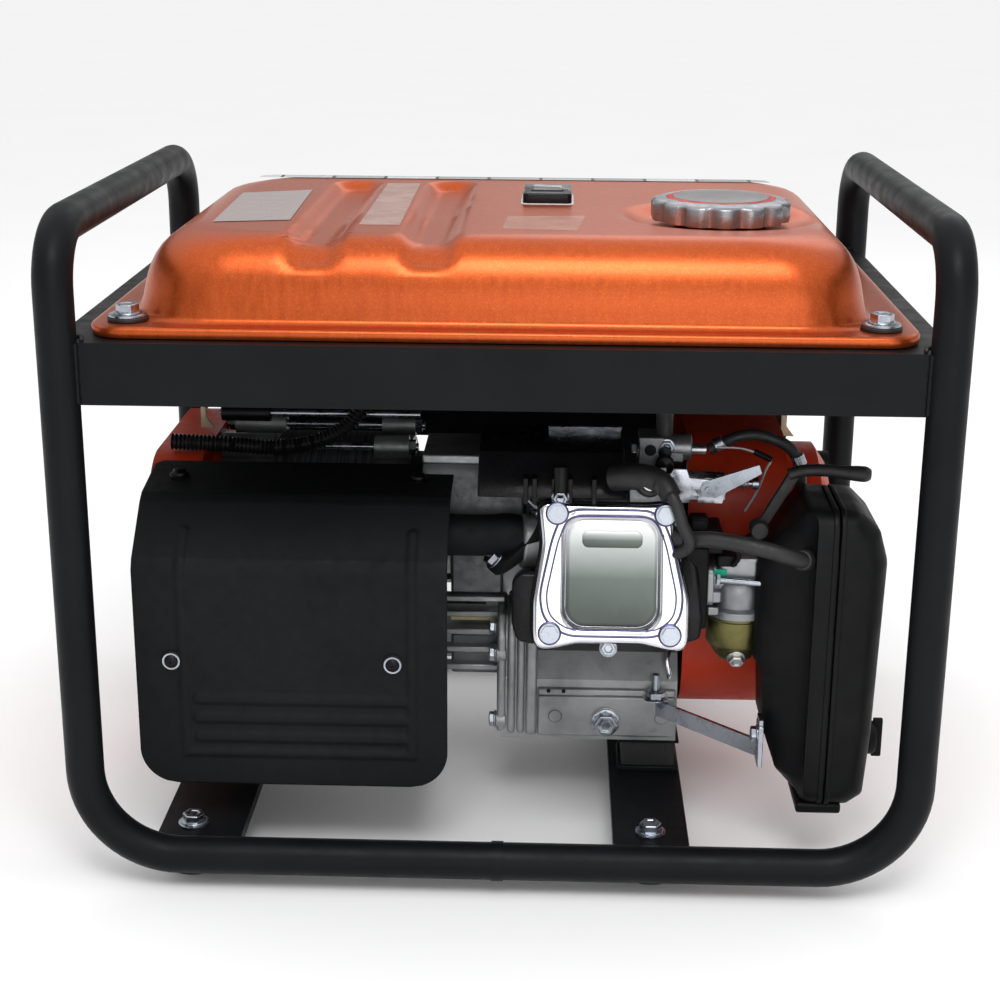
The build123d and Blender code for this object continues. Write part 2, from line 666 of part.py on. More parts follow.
def cooling_duct():
    sheet = [(-139, 274), (-118, 289), (-60, 291), (-15, 266), (-19, 261), (-62, 285), (-116, 283),
             (-135, 270)]
    duct = prism("x", outline(*sheet), (-17, 82))
    for x in (5, 30, 55):
        rib = [(-139, 274), (-118, 289), (-60, 291), (-60, 294), (-119, 292), (-141, 277)]
        duct += prism("x", outline(*rib), (x, x + 3))
    return duct


def recoil_cover():
    shell = rod("x", RECOIL_R, (RECOIL_X[0], RECOIL_X[1] - 8), CRANK)
    dome = loft([Plane((RECOIL_X[1] - 8, *CRANK), z_dir=(1, 0, 0)) * Circle(RECOIL_R),
                 Plane((RECOIL_X[1], *CRANK), z_dir=(1, 0, 0)) * Circle(RECOIL_R - 12)])
    shell += dome
    shell -= rod("x", RECOIL_R - 2, (RECOIL_X[0] - 1, RECOIL_X[1] - 10), CRANK)
    shell -= rod("x", RECOIL_R - 14, (RECOIL_X[1] - 11, RECOIL_X[1] - 2), CRANK)
    shell += rod("x", REEL_PIN, (212, RECOIL_X[1] - 1), CRANK)
    shell += rod("y", 9, (98, GRIP_Y - 0.3), ROPE_AT)
    vent = block((RECOIL_X[1] - 12, RECOIL_X[1] + 1), (CRANK[0] + 40, CRANK[0] + 70), around(CRANK[1], 4))
    for i in range(RECOIL_VENTS):
        shell -= spin(vent, 360 * (i + 0.5) / RECOIL_VENTS)
    return shell - rod("y", ROPE_R + 1.2, (60, GRIP_Y + 1), ROPE_AT)


def recoil_reel():
    reel = rod("x", REEL_R, (216, 226), CRANK) + rod("x", REEL_FLANGE, (214, 216), CRANK)
    reel += rod("x", REEL_FLANGE, (226, 228), CRANK)
    return reel - rod("x", REEL_PIN + FIT, (210, 230), CRANK)


def rope_middle():
    return ring("y", ROPE_R + 0.75, ROPE_R + FIT, ROPE_Y, ROPE_AT)


def pull_handle():
    """Grip and the innermost stretch of rope tied into it."""
    x, z = ROPE_AT
    grip = rod("x", GRIP_R, around(x, GRIP_HALF), (GRIP_Y + 17, z))
    neck = rod("y", 7, (GRIP_Y, GRIP_Y + 17), ROPE_AT)
    return Compound([grip + neck, rod("y", ROPE_R, (ROPE_Y[0], GRIP_Y), ROPE_AT)])


# ---------------------------------------------------------------- intake side
def intake_insulator():
    slab = prism("x", rounded((-141, -89), (172, 226), 8), (124, 140))
    return slab - rod("x", THROAT_R, (123, 141), CARB_AT)


def carburettor():
    y, z = CARB_AT
    body = rod("x", 17, (144, 188), CARB_AT) + block((140, 144), around(y, 24), around(z, 14))
    body += block((148, 174), (-132, -99), (z, z + 20))
    body += rod("z", BOWL_R + 2, (175, 180), BOWL_AT) + rod("z", BOWL_R - 3, (180, z), BOWL_AT)
    return body - rod("x", THROAT_R, (139, 189), CARB_AT)


def float_bowl():
    bowl = rod("z", BOWL_R, (151, 175), BOWL_AT)
    bowl += loft([Plane((*BOWL_AT, 142)) * Circle(BOWL_R - 9), Plane((*BOWL_AT, 151)) * Circle(BOWL_R)])
    bowl -= rod("z", BOWL_R - SKIN, (152, 176), BOWL_AT)
    return bowl + rod("z", 5, (136, 142), BOWL_AT)


def choke_lever():
    hub = rod("y", 6, (-137, -125), CHOKE_AT)
    x, z = CHOKE_AT
    ex, ez = CHOKE_ELBOW
    arm = outline((x - 3, z), (x + 3, z - 2), (ex + 3, ez - 4), (ex - 3, ez))
    finger = outline((ex - 3, ez - 4), (ex + 1, ez + 1), (248, ez - 1), (250, ez - 5), (ex, ez - 5))
    return hub + prism("y", arm, (-133, -127)) + prism("y", finger, (-135, -125))


def governor_bracket():
    face = block((112, 152), (-112, -110), (254, 269))
    shelf = block((112, 152), (-110, -96), (267, 269))
    leg = block((112, 124), (-96, -12), (267, 269)) + block((112, 124), (-14, -12), (238, 267))
    pin = rod("y", THROTTLE_PIN, (-118, -112), THROTTLE_AT)
    return face + shelf + leg + pin


def engine_brackets():
    return Compound([governor_bracket(), air_cleaner_bracket()])


def throttle_lever():
    x, z = THROTTLE_AT
    plate = outline((x - 6, z - 4), (x + 5, z - 6), (x + 36, z + 12), (x + 34, z + 18), (x - 4, z + 5))
    body = prism("y", plate, (-115, -113)) + rod("y", 5, (-116, -112.3), THROTTLE_AT)
    return body - rod("y", THROTTLE_PIN + FIT, (-120, -111), THROTTLE_AT)


def air_cleaner_base():
    y0, y1 = AIR_Y
    plan = outline((173, -140), (207, y0), (AIR_SEAM, y0), (AIR_SEAM, y1), (173, y1))
    body = prism("y", outline(*AIR_BASE), AIR_Y) & prism("z", plan, (40, 280))
    body -= block((206, AIR_SEAM), grow(AIR_Y, -3), (62, AIR_TOP - 11))
    body -= block((170, 188), (-139, AIR_Y[1] + 1), (120, 230))
    body -= block((191, 207), (-136, -100), (140, 225))
    body -= rod("x", THROAT_R, (187, 192), CARB_AT)
    return body + rod("x", 3, (192, KNOB_START + 6.5), AIR_STUD)


def air_cleaner_cover():
    body = prism("y", outline(*AIR_COVER), AIR_Y)
    body -= block((AIR_SEAM, 249), grow(AIR_Y, -3), (66, 240))
    body -= rod("x", 3.3, (240, 260), AIR_STUD)
    return body


def filter_element():
    pad = block((208, 245), grow(AIR_Y, -6), (70, 236))
    return pad - rod("x", 3.3, (200, 250), AIR_STUD)


def air_cleaner_knob():
    y, z = AIR_STUD
    knob = rod("x", 12, (KNOB_START, KNOB_START + 8), AIR_STUD)
    wing = block((KNOB_START + 6, KNOB_START + 13), around(y, 2), around(z, 15))
    return knob + wing - rod("x", 3 + FIT, (KNOB_START - 1, KNOB_START + 7), AIR_STUD)


def air_cleaner_bracket():
    pad = block((98, 118), (-80, -78), (77, 91))
    strip = prism("z", outline((111, -80), (178, -146), (180.5, -144), (114.5, -80)), (78, 90))
    tab = block((178, 180.5), (-158, -144), (78, 110))
    return pad + strip + tab


def breather_hose():
    route = [(123, -151, 241), (139, -163, 243), (165, -174, 242), (190, -178, 236), (199, -165.5, 230)]
    return hose("breather_hose", route, 5.5)


# ---------------------------------------------------------------- ignition
def spark_plug():
    spot = Pos(*PLUG_AT)
    body = barrel(spot * Circle(7), 160, 186) + barrel(spot * RegularPolygon(10, 6), 186, 196)
    return body + barrel(spot * Circle(5), 196, 216)


def plug_cap():
    boot = barrel(Pos(*PLUG_AT) * Circle(9.5), 198, 222) - barrel(Pos(*PLUG_AT) * Circle(5), 197, 216)
    start = cylinder_plane(214) * Pos(34, 60)
    first = start.position
    route = [(first.X, first.Y, first.Z), (122, -156, 262), (130, -140, 243), (136, -116, 240),
             (138, -94, 254), (138, -75, 262)]
    return boot + hose("plug lead", route, 3.5)


# ---------------------------------------------------------------- exhaust
def muffler():
    low, high = MUFFLER_X
    can = prism("x", outline(*MUFFLER_PROFILE), MUFFLER_X)
    can -= prism("x", outline(*MUFFLER_INSIDE), grow(MUFFLER_X, -MUFFLER_SHEET))
    for spot in SHIELD_FRONT:
        can += rod("y", SHIELD_POST, (-163.8, -150), spot)
    for x in SHIELD_TOP:
        can += rod("z", SHIELD_POST, (245, 257), (x, -95))
    can += rod("x", PIPE_R, (high, 22), EXHAUST_AT)
    flange = prism("x", rounded((-136, -84), (206, 244), 10), (19, 22))
    can = can + flange - rod("x", PIPE_BORE, (high - 2, 23), EXHAUST_AT)
    return can - rod("x", 9, (low - 1, low + 10), (-95, 110))


def muffler_shield():
    outside = [(-165, 58), (-165, 218), (-125, 255), (-70, 264)]
    inside = [(-70.2, 262.8), (-124.4, 253.9), (-163.8, 217.5), (-163.8, 58)]
    sheet = prism("x", outline(*outside, *inside), SHIELD_X)
    trim = prism("y", rounded(SHIELD_X, (58, 340), 26), (-170, -60))
    sheet = sheet & trim
    for x, z in SHIELD_FRONT:
        sheet -= rod("y", 3.2, (-170, -160), (x, z))
    return sheet


def shield_screws():
    screws = []
    for x, z in SHIELD_FRONT:
        screws.append(rod("y", 6, (-168, -165), (x, z)) + rod("y", 3, (-165, -163.8), (x, z)))
    return screws


# ---------------------------------------------------------------- alternator
def tie_rods(radius, span):
    """Round bars of that radius along the four tie rods."""
    return [rod("x", radius, span, spot) for spot in tie_spots()]


def bell(span, wall_x, bore):
    body = ring("x", BELL_R, BELL_R - BELL_WALL, span, CRANK)
    body += tie_rods(TIE_LUG_R, span)
    body += rod("x", BELL_R - 4, wall_x, CRANK)
    body -= rod("x", bore, grow(wall_x, 1), CRANK)
    vent = block(grow(wall_x, 1), (CRANK[0] + 34, CRANK[0] + 74), around(CRANK[1], 14))
    for i in range(6):
        body -= spin(vent, 60 * i)
    return body - tie_rods(TIE_HOLE_R, grow(span, 1))


def rear_bell():
    body = bell((REAR_BELL_X, STATOR_X[0]), (REAR_BELL_X, REAR_BELL_X + BELL_WALL), 12 + FIT)
    pads_x, _, pads_top = GENERATOR_PADS
    foot = block(pads_x, (-16, 80), (pads_top, 84)) - rod("x", BELL_R - BELL_WALL, grow(pads_x, 8), CRANK)
    return body + foot


def front_bell():
    body = bell((STATOR_X[1], FRONT_BELL_X), (FRONT_BELL_X - BELL_WALL, FRONT_BELL_X), 22)
    neck = ring("x", 80, 74, (FRONT_BELL_X, COVER_X[0]), CRANK)
    slot = block((FRONT_BELL_X + 12, COVER_X[0] - 12), (CRANK[0] + 60, CRANK[0] + 90), around(CRANK[1], 12))
    for i in range(8):
        neck -= spin(slot, 45 * i)
    return body + neck


def stator():
    core = ring("x", STATOR_R, STATOR_BORE, STATOR_X, CRANK)
    return core - tie_rods(TIE_HOLE_R, grow(STATOR_X, 1))


def rotor():
    core = rod("x", ROTOR_R, grow(STATOR_X, -3), CRANK)
    shaft = rod("x", 15, (-200, -14), CRANK) + rod("x", 12, (-214, -200), CRANK)
    fan = rod("x", 60, (-97, -92), CRANK)
    return core + shaft + fan


def alternator_bells():
    return Compound([rear_bell(), front_bell()])


def alternator_cover():
    face, back = END_COVER_X
    edge = rounded(END_COVER_Y, END_COVER_Z, 40)
    shell = prism("x", edge, END_COVER_X)
    shell -= prism("x", rounded(grow(END_COVER_Y, -2), grow(END_COVER_Z, -2), 38), (face + 2, back))
    for row in range(7):
        z = 110 + 14 * row
        shell -= block((face - 2, face + 3), (-10, 74), (z, z + 6))
    rim = ring("x", BELL_R, BELL_R - 3, (back, REAR_BELL_X), CRANK)
    plate = prism("x", edge - Pos(*CRANK) * Circle(BELL_R - 3), (back - 2, back))
    return shell + (plate - tie_rods(7, (back - 3, REAR_BELL_X + 1))) + rim


def wiring_conduit():
    route = [(-246, -30, 267), (-208, -31, 266), (-165, -30, 264), (-126, -28, 274), (-103, -18, 296),
             (-80, 16, 318), (-62, 62, 324), (-52, 106, 318), (-48, 137.5, 307)]
    return hose("wiring_conduit", route, 5.5)


# ---------------------------------------------------------------- control box
def control_box():
    hollow_y = (BOX_Y[0] + BOX_SHEET, BOX_Y[1])
    shell = block(BOX_X, BOX_Y, BOX_Z) - block(grow(BOX_X, -BOX_SHEET), hollow_y, grow(BOX_Z, -BOX_SHEET))
    for x in (-190, 190):
        shell += block(around(x, 12), (178, 192), (BOX_Z[1], BAR_TOP - SHEET))
    return shell


def control_panel():
    plate = prism("y", rounded(grow(BOX_X, 3), grow(BOX_Z, 2), 6), (BOX_Y[1], PANEL_FRONT))
    for spot in (*OUTLETS, METER_AT):
        plate -= rod("y", ROUND_CUT, THROUGH_PANEL, spot)
    for (x, z), (half_x, half_z) in ((BREAKER_AT, BREAKER_CUT), (SWITCH_AT, SWITCH_CUT)):
        plate -= block(around(x, half_x), THROUGH_PANEL, around(z, half_z))
    return plate - rod("y", 3, THROUGH_PANEL, EARTH_AT)


def outlets():
    solids = []
    for x, z in OUTLETS:
        face = rod("y", ROUND_CUT - 0.2, (FITTING_BACK, PANEL_FRONT), (x, z))
        face += rod("y", 28, (PANEL_FRONT, PANEL_FRONT + 4), (x, z))
        for blade in (x - 7, x + 7):
            face -= block(around(blade, 1.1), (188, 204), (z, z + 9))
        solids.append(face - rod("y", 2.6, (188, 204), (x, z - 9)))
    return solids


def voltmeter():
    x, z = METER_AT
    body = rod("y", ROUND_CUT - 0.2, (FITTING_BACK, PANEL_FRONT), METER_AT)
    body += prism("y", rounded(around(x, 27), around(z, 27), 5), (PANEL_FRONT, PANEL_FRONT + 6))
    window = rounded(around(x, 22), (z - 14, z + 22), 3)
    return body - prism("y", window, (PANEL_FRONT + 4, PANEL_FRONT + 7))


def frame_insert(at, cut):
    """Flush housing with a pocket for a rocker or lever, seated in the panel hole of that size."""
    across, upright = around(at[0], cut[0] - 0.1), around(at[1], cut[1] - 0.1)
    body = block(across, (FITTING_BACK + 2, PANEL_FRONT), upright)
    body += block(grow(across, 3), (PANEL_FRONT, PANEL_FRONT + 2), grow(upright, 3))
    return body - block(grow(across, -2), (184, PANEL_FRONT + 3), grow(upright, -2))


def panel_fittings():
    housings = [frame_insert(BREAKER_AT, BREAKER_CUT), frame_insert(SWITCH_AT, SWITCH_CUT)]
    return Compound(outlets() + housings + [voltmeter(), earth_terminal()])


def rocker(at, half_x, length, tilt):
    """Rocker or lever on a cross pin, resting tilted to one side."""
    x, z = at
    body = rod("x", 6, around(x, half_x), (ROCKER_PIN_Y, z))
    body += block(around(x, half_x), (ROCKER_PIN_Y, ROCKER_PIN_Y + length), around(z, 5.5))
    return body.rotate(Axis((0, ROCKER_PIN_Y, z), (1, 0, 0)), tilt)


def engine_switch():
    return rocker(SWITCH_AT, 8.5, 12, -12)


def main_breaker():
    return rocker(BREAKER_AT, 6.5, 16, -15)


def earth_terminal():
    stud = rod("y", 2.9, (186, 212), EARTH_AT)
    return stud + prism("y", Pos(*EARTH_AT) * RegularPolygon(8, 6), (PANEL_FRONT, PANEL_FRONT + 6))


def oil_filler_cap():
    x, z = OIL_CAP_AT
    cap = rod("y", 15, (125, 138), OIL_CAP_AT) + rod("y", OIL_NECK - FIT, (100, 125), OIL_CAP_AT)
    return cap + block(around(x, 13), (138, 143), around(z, 2))


# ---------------------------------------------------------------- write every piece
NODES = {
    "frame_left": frame_left(),
    "frame_right": frame_tube(1),
    "cross_members": cross_members(),
    "rubber_feet": rubber_feet(),
    "hex_bolts": hex_bolts(),
    "vibration_mounts": vibration_mounts(),
    "tank_rails_long": long_tank_rails(),
    "tank_rails_side": side_tank_rails(),
    "tank_upper": tank_upper(),
    "tank_lower": tank_lower(),
    "tank_grommets": tank_grommets(),
    "tank_bolts": tank_bolts(),
    "fuel_gauge": fuel_gauge(),
    "fuel_cap_insert": fuel_cap_insert(),
    "fuel_cap_shell": fuel_cap_shell(),
    "fuel_valve": fuel_valve(),
    "fuel_valve_lever": fuel_valve_lever(),
    "fuel_hose": fuel_hose(),
    "crankcase": crankcase(),
    "crankcase_cover": crankcase_cover(),
    "cylinder": cylinder(),
    "cylinder_head": cylinder_head(),
    "rocker_cover": rocker_cover(),
    "crankshaft": crankshaft(),
    "camshaft": camshaft(),
    "piston": piston(),
    "connecting_rod": connecting_rod(),
    "flywheel": flywheel(),
    "fan_shroud": fan_shroud(),
    "cooling_duct": cooling_duct(),
    "recoil_cover": recoil_cover(),
    "recoil_reel": recoil_reel(),
    "pull_handle": pull_handle(),
    "pull_rope_middle": rope_middle(),
    "carburettor": carburettor(),
    "float_bowl": float_bowl(),
    "intake_insulator": intake_insulator(),
    "choke_lever": choke_lever(),
    "throttle_lever": throttle_lever(),
    "engine_brackets": engine_brackets(),
    "air_cleaner_base": air_cleaner_base(),
    "air_cleaner_cover": air_cleaner_cover(),
    "air_cleaner_knob": air_cleaner_knob(),
    "filter_element": filter_element(),
    "breather_hose": breather_hose(),
    "spark_plug": spark_plug(),
    "plug_cap": plug_cap(),
    "oil_filler_cap": oil_filler_cap(),
    "muffler": muffler(),
    "muffler_shield": muffler_shield(),
    "stator": stator(),
    "rotor": rotor(),
    "alternator_bells": alternator_bells(),
    "alternator_cover": alternator_cover(),
    "wiring_conduit": wiring_conduit(),
    "control_box": control_box(),
    "control_panel": control_panel(),
    "panel_fittings": panel_fittings(),
    "engine_switch": engine_switch(),
    "main_breaker": main_breaker(),
}

os.makedirs("parts", exist_ok=True)
for name, shape in NODES.items():
    export_step(shape, f"parts/{name}.step")
print(len(NODES), "nodes")
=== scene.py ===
import json
from math import copysign, cos, hypot, pi, radians, sin, sqrt, tan

import bmesh
import bpy
from mathutils import Matrix, Vector


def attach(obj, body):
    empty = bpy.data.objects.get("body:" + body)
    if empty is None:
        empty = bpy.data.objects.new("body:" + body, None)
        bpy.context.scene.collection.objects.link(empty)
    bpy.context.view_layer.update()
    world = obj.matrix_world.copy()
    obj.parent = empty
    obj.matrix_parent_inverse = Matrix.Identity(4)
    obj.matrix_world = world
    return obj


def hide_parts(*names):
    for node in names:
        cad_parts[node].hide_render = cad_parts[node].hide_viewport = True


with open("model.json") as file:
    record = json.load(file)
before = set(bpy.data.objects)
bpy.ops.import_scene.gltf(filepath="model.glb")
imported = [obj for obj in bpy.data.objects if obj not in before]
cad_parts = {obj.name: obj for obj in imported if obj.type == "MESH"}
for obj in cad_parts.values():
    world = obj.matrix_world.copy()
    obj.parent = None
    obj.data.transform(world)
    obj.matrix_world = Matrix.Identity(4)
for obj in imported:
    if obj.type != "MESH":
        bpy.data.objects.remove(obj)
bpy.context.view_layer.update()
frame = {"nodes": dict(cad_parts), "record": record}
nodes = frame["nodes"]

MM = 0.001


# ---- camera, floor and light
SKY_LEVELS = ((0.0, 0.90), (0.06, 0.90), (0.13, 0.22), (0.85, 1.0))


def make_camera():
    """Camera a little above the tank, in front of the muffler side, tilted down about 17 degrees."""
    yaw, pitch, roll = 0.0305, 0.3023, 0.0070
    forward = Vector((-sin(yaw) * cos(pitch), cos(yaw) * cos(pitch), -sin(pitch)))
    right = Vector((cos(yaw), sin(yaw), 0))
    up = right.cross(forward)
    tilted_right = right * cos(roll) + up * sin(roll)
    tilted_up = up * cos(roll) - right * sin(roll)
    data = bpy.data.cameras.new("camera")
    data.lens, data.sensor_width = 64.485, 36.0
    camera = bpy.data.objects.new("camera", data)
    turn = Matrix((tilted_right, tilted_up, -forward)).transposed().to_4x4()
    camera.matrix_world = Matrix.Translation((0.03343, -1.29082, 0.61917)) @ turn
    bpy.context.scene.collection.objects.link(camera)
    bpy.context.scene.camera = camera


def area_light(name, place, target, size, watts):
    data = bpy.data.lights.new(name, "AREA")
    data.shape, data.size, data.size_y, data.energy = "RECTANGLE", size[0], size[1], watts
    light = bpy.data.objects.new(name, data)
    light.location = place
    light.rotation_euler = (Vector(target) - Vector(place)).to_track_quat("-Z", "Y").to_euler()
    bpy.context.scene.collection.objects.link(light)


def make_sky():
    """Overcast studio: brightest overhead, dim above the horizon, and a pale band behind the floor's edge."""
    world = bpy.data.worlds.new("studio")
    bpy.context.scene.world = world
    world.use_nodes = True
    tree = world.node_tree
    new, link, background = tree.nodes.new, tree.links.new, tree.nodes["Background"]
    parts, height = new("ShaderNodeSeparateXYZ"), new("ShaderNodeValToRGB")
    link(new("ShaderNodeTexCoord").outputs["Generated"], parts.inputs["Vector"])
    link(parts.outputs["Z"], height.inputs["Fac"])
    set_stops(height, [(place, (level,) * 3) for place, level in SKY_LEVELS])
    link(height.outputs["Color"], background.inputs["Color"])
    background.inputs["Strength"].default_value = 1.2


def make_stage():
    """Pale floor and a bright, even sky, with three soft boxes for the highlights."""
    bpy.ops.mesh.primitive_plane_add(size=240)
    floor = bpy.context.object
    floor.name = "floor"
    floor.data.materials.append(floor_material("floor"))
    make_sky()
    bpy.context.scene.view_settings.view_transform = "Standard"
    area_light("key_box", (0.1, -1.35, 1.9), (0.05, 0, 0.25), (0.9, 0.8), 18)
    area_light("front_box", (0.5, -2.4, 0.7), (0.05, 0, 0.22), (1.8, 0.8), 9)
    area_light("rear_box", (0.6, 1.9, 1.6), (0, 0, 0.25), (1.6, 1.0), 5)


# ---- materials
def set_stops(ramp_node, stops):
    """Places the stops of a colour ramp, given as (place, colour)."""
    elements = ramp_node.color_ramp.elements
    while len(elements) < len(stops):
        elements.new(0.5)
    for element, (place, colour) in zip(elements, stops):
        element.position, element.color = place, (*colour, 1)


class Recipe:
    """A Principled material with helpers for adding procedural variation."""

    def __init__(self, name, colour, roughness, metallic=0.0, **sockets):
        self.material = bpy.data.materials.new(name)
        self.material.use_nodes = True
        self.tree = self.material.node_tree
        self.shader = self.tree.nodes["Principled BSDF"]
        self.bumps = None
        sockets.update(Base_Color=(*colour, 1), Roughness=roughness, Metallic=metallic)
        for socket, value in sockets.items():
            self.feed(self.shader, socket, value)
        self.places = self.add("TexCoord").outputs
        self.coords = self.places["Object"]

    def feed(self, node, socket, value):
        """Gives an input of a node a value, or links another node's output to it."""
        socket = node.inputs[socket if isinstance(socket, int) else socket.replace("_", " ")]
        if isinstance(value, bpy.types.NodeSocket):
            self.tree.links.new(value, socket)
        else:
            socket.default_value = value

    def add(self, kind, **inputs):
        node = self.tree.nodes.new("ShaderNode" + kind)
        for socket, value in inputs.items():
            self.feed(node, socket, value)
        return node

    def noise(self, scale, detail=4.0, stretch=(1, 1, 1)):
        vector = self.add("Mapping", Vector=self.coords, Scale=stretch).outputs["Vector"]
        return self.add("TexNoise", Vector=vector, Scale=scale, Detail=detail, Roughness=0.55).outputs["Fac"]

    def cells(self, scale, output="Distance"):
        return self.add("TexVoronoi", Vector=self.coords, Scale=scale).outputs[output]

    def pattern(self, form):
        """Cells for a bare scale; noise for a scale, a detail and perhaps a stretch."""
        return self.noise(*form) if isinstance(form, tuple) else self.cells(form)

    def ramp(self, source, *stops):
        node = self.add("ValToRGB", Fac=source)
        set_stops(node, stops)
        return node.outputs["Color"]

    def spread(self, source, low, high, start=0.3, stop=0.7):
        return self.add("MapRange", Value=source, From_Min=start, From_Max=stop,
                        To_Min=low, To_Max=high).outputs["Result"]

    def mix(self, factor, first, second):
        node = self.add("Mix")
        node.data_type = "RGBA"
        for socket, value in ((0, factor), (6, first), (7, second)):
            self.feed(node, socket, (*value, 1) if isinstance(value, tuple) else value)
        return node.outputs[2]

    def colour(self, source):
        self.feed(self.shader, "Base Color", source)

    def rough(self, source):
        self.feed(self.shader, "Roughness", source)

    def bump(self, source, depth, strength):
        node = self.add("Bump", Height=source, Distance=depth, Strength=strength)
        if self.bumps is not None:
            self.feed(node, "Normal", self.bumps)
        self.bumps = node.outputs["Normal"]
        self.feed(self.shader, "Normal", self.bumps)


def finish(name, colour, roughness, metallic, patches, shades, wear, *bumps, **sockets):
    """Common recipe: colour in patches, roughness worn unevenly, and fine bumps.

    A shade is a colour or a share of the main colour; wear is a pattern and its change of roughness."""
    r = Recipe(name, colour, roughness, metallic, **sockets)
    stops = [(place, shade if isinstance(shade, tuple) else tuple(c * shade for c in colour))
             for place, shade in shades]
    r.colour(r.ramp(r.pattern(patches), *stops))
    if wear:
        grain, low, high = wear
        r.rough(r.spread(r.pattern(grain), roughness + low, roughness + high))
    for form, depth, strength in bumps:
        r.bump(r.pattern(form), depth, strength)
    return r.material


def floor_material(name):
    return finish(name, (0.97,) * 3, 0.8, 0, (3, 4), ((0.3, (0.965,) * 3), (0.7, (0.98,) * 3)), None,
                  ((300, 3), 0.0001, 0.2))


def powder_coat(name, colour):
    return finish(name, colour, 0.42, 0, (14, 3), ((0.3, 0.8), (0.7, 1.3)), ((60, 3), -0.06, 0.1),
                  ((900, 2), 0.00012, 0.45), ((2600, 2), 0.00005, 0.35), Specular_IOR_Level=0.12)


def tank_paint(name):
    """Metallic orange enamel: flake sparkle, faint streaks down the walls, clear coat over it."""
    r = Recipe(name, (0.5, 0.08, 0.015), 0.33, 0.8, Coat_Weight=0.08, Coat_Roughness=0.12, Coat_IOR=1.45)
    streaks = r.noise(240, 3, (1, 1, 0.05))
    warm = r.ramp(r.noise(7, 3), (0.32, (0.40, 0.060, 0.010)), (0.68, (0.46, 0.074, 0.013)))
    streaked = r.mix(r.spread(streaks, 0.0, 0.42), warm, (0.55, 0.105, 0.020))
    sparkle = r.spread(r.cells(1400, "Color"), 0.0, 0.5, 0.55, 1.0)
    r.colour(r.mix(sparkle, streaked, (0.66, 0.15, 0.034)))
    r.rough(r.spread(streaks, 0.30, 0.38))
    r.bump(r.noise(700, 2), 0.00003, 0.12)
    return r.material


def red_enamel(name):
    shades = ((0.3, (0.40, 0.026, 0.007)), (0.7, (0.50, 0.040, 0.011)))
    return finish(name, (0.42, 0.045, 0.02), 0.42, 0, (18, 4), shades, ((90, 3), -0.12, 0.08),
                  ((600, 2), 0.00008, 0.3), Specular_IOR_Level=0.22)


def matte_sheet(name):
    """Heat-proof matte black paint: grainy, slightly greyer where it has been rubbed."""
    return finish(name, (0.006, 0.0065, 0.0075), 0.62, 0, (9, 5),
                  ((0.35, (0.0045, 0.005, 0.0055)), (0.75, (0.0085, 0.009, 0.010))), ((120, 4), -0.12, 0.1),
                  ((1500, 3), 0.00010, 0.5), Specular_IOR_Level=0.12)


def casting(name, colour, roughness):
    """Sand-cast or die-cast alloy: pebbled skin, dull patches, darker where grime sits."""
    return finish(name, colour, roughness, 0.85, (22, 6), ((0.28, 0.62), (0.5, 1), (0.75, 1.25)),
                  ((160, 4), -0.08, 0.16), (1500, 0.00015, 0.35), ((420, 5), 0.00025, 0.35))


def machined(name, colour, roughness, stretch=(1, 1, 12)):
    lines = (500, 3, stretch)
    return finish(name, colour, roughness, 1, (40, 4), ((0.3, 0.8), (0.7, 1.1)), (lines, -0.08, 0.12),
                  (lines, 0.00004, 0.3))


def plated(name, colour, roughness):
    bloom, shades = (120, 5), ((0.3, 0.72), (0.55, 1), (0.8, 1.15))
    return finish(name, colour, roughness, 1, bloom, shades, (bloom, -0.06, 0.16), ((900, 3), 0.00004, 0.3))


def chrome_plate(name):
    haze, shades = (30, 4), ((0.3, (0.62, 0.62, 0.67)), (0.7, (0.72, 0.72, 0.77)))
    return finish(name, (0.66, 0.66, 0.71), 0.1, 1, haze, shades, (haze, -0.01, 0.06),
                  ((45, 2), 0.00006, 0.1))


def satin_panel(name):
    """Rolled centre of the rocker cover: painted reflection and shade, pale at the top and darkening to a
    greenish grey at the foot.
    """
    r = Recipe(name, (0.40, 0.44, 0.41), 0.34, 0.55)
    height = r.add("SeparateXYZ", Vector=r.places["Generated"]).outputs["Z"]
    # painted reflection and shade: the colour runs with height from a dark foot to a pale top
    painted_light_ramp = r.ramp(height, (0.05, (0.045, 0.055, 0.048)), (0.45, (0.10, 0.12, 0.11)),
                  (0.72, (0.36, 0.39, 0.38)), (0.98, (0.80, 0.82, 0.82)))
    r.colour(r.mix(r.spread(r.noise(12, 3), 0.0, 0.12), painted_light_ramp, (0.30, 0.33, 0.31)))
    r.rough(r.spread(r.noise(260, 3), 0.30, 0.38))
    r.bump(r.noise(900, 2), 0.00005, 0.3)
    return r.material


def moulded(name, colour=(0.0035, 0.0037, 0.0042), roughness=0.5, grain=1100):
    """Spark-eroded moulding with a fine pebble."""
    return finish(name, colour, roughness, 0, (25, 4), ((0.3, 0.75), (0.75, 1.6)), ((70, 4), -0.1, 0.1),
                  (grain, 0.00010, 0.4), Specular_IOR_Level=0.14)


def rubber(name):
    return finish(name, (0.016, 0.016, 0.017), 0.55, 0, (60, 4), ((0.3, (0.006, 0.006, 0.007)), (0.8, 1)),
                  ((200, 3), -0.12, 0.12), ((700, 3), 0.00008, 0.35))


def foam(name):
    return finish(name, (0.08, 0.08, 0.085), 0.95, 0, 700, ((0.1, (0.03,) * 3), (0.6, (0.14,) * 3)), None,
                  (700, 0.0006, 0.8))


def braid(name):
    weave = (1800, 2, (1, 0.3, 1))
    return finish(name, (0.06, 0.06, 0.062), 0.85, 0, weave, ((0.35, (0.03,) * 3), (0.65, (0.12,) * 3)), None,
                  (weave, 0.0003, 0.7))


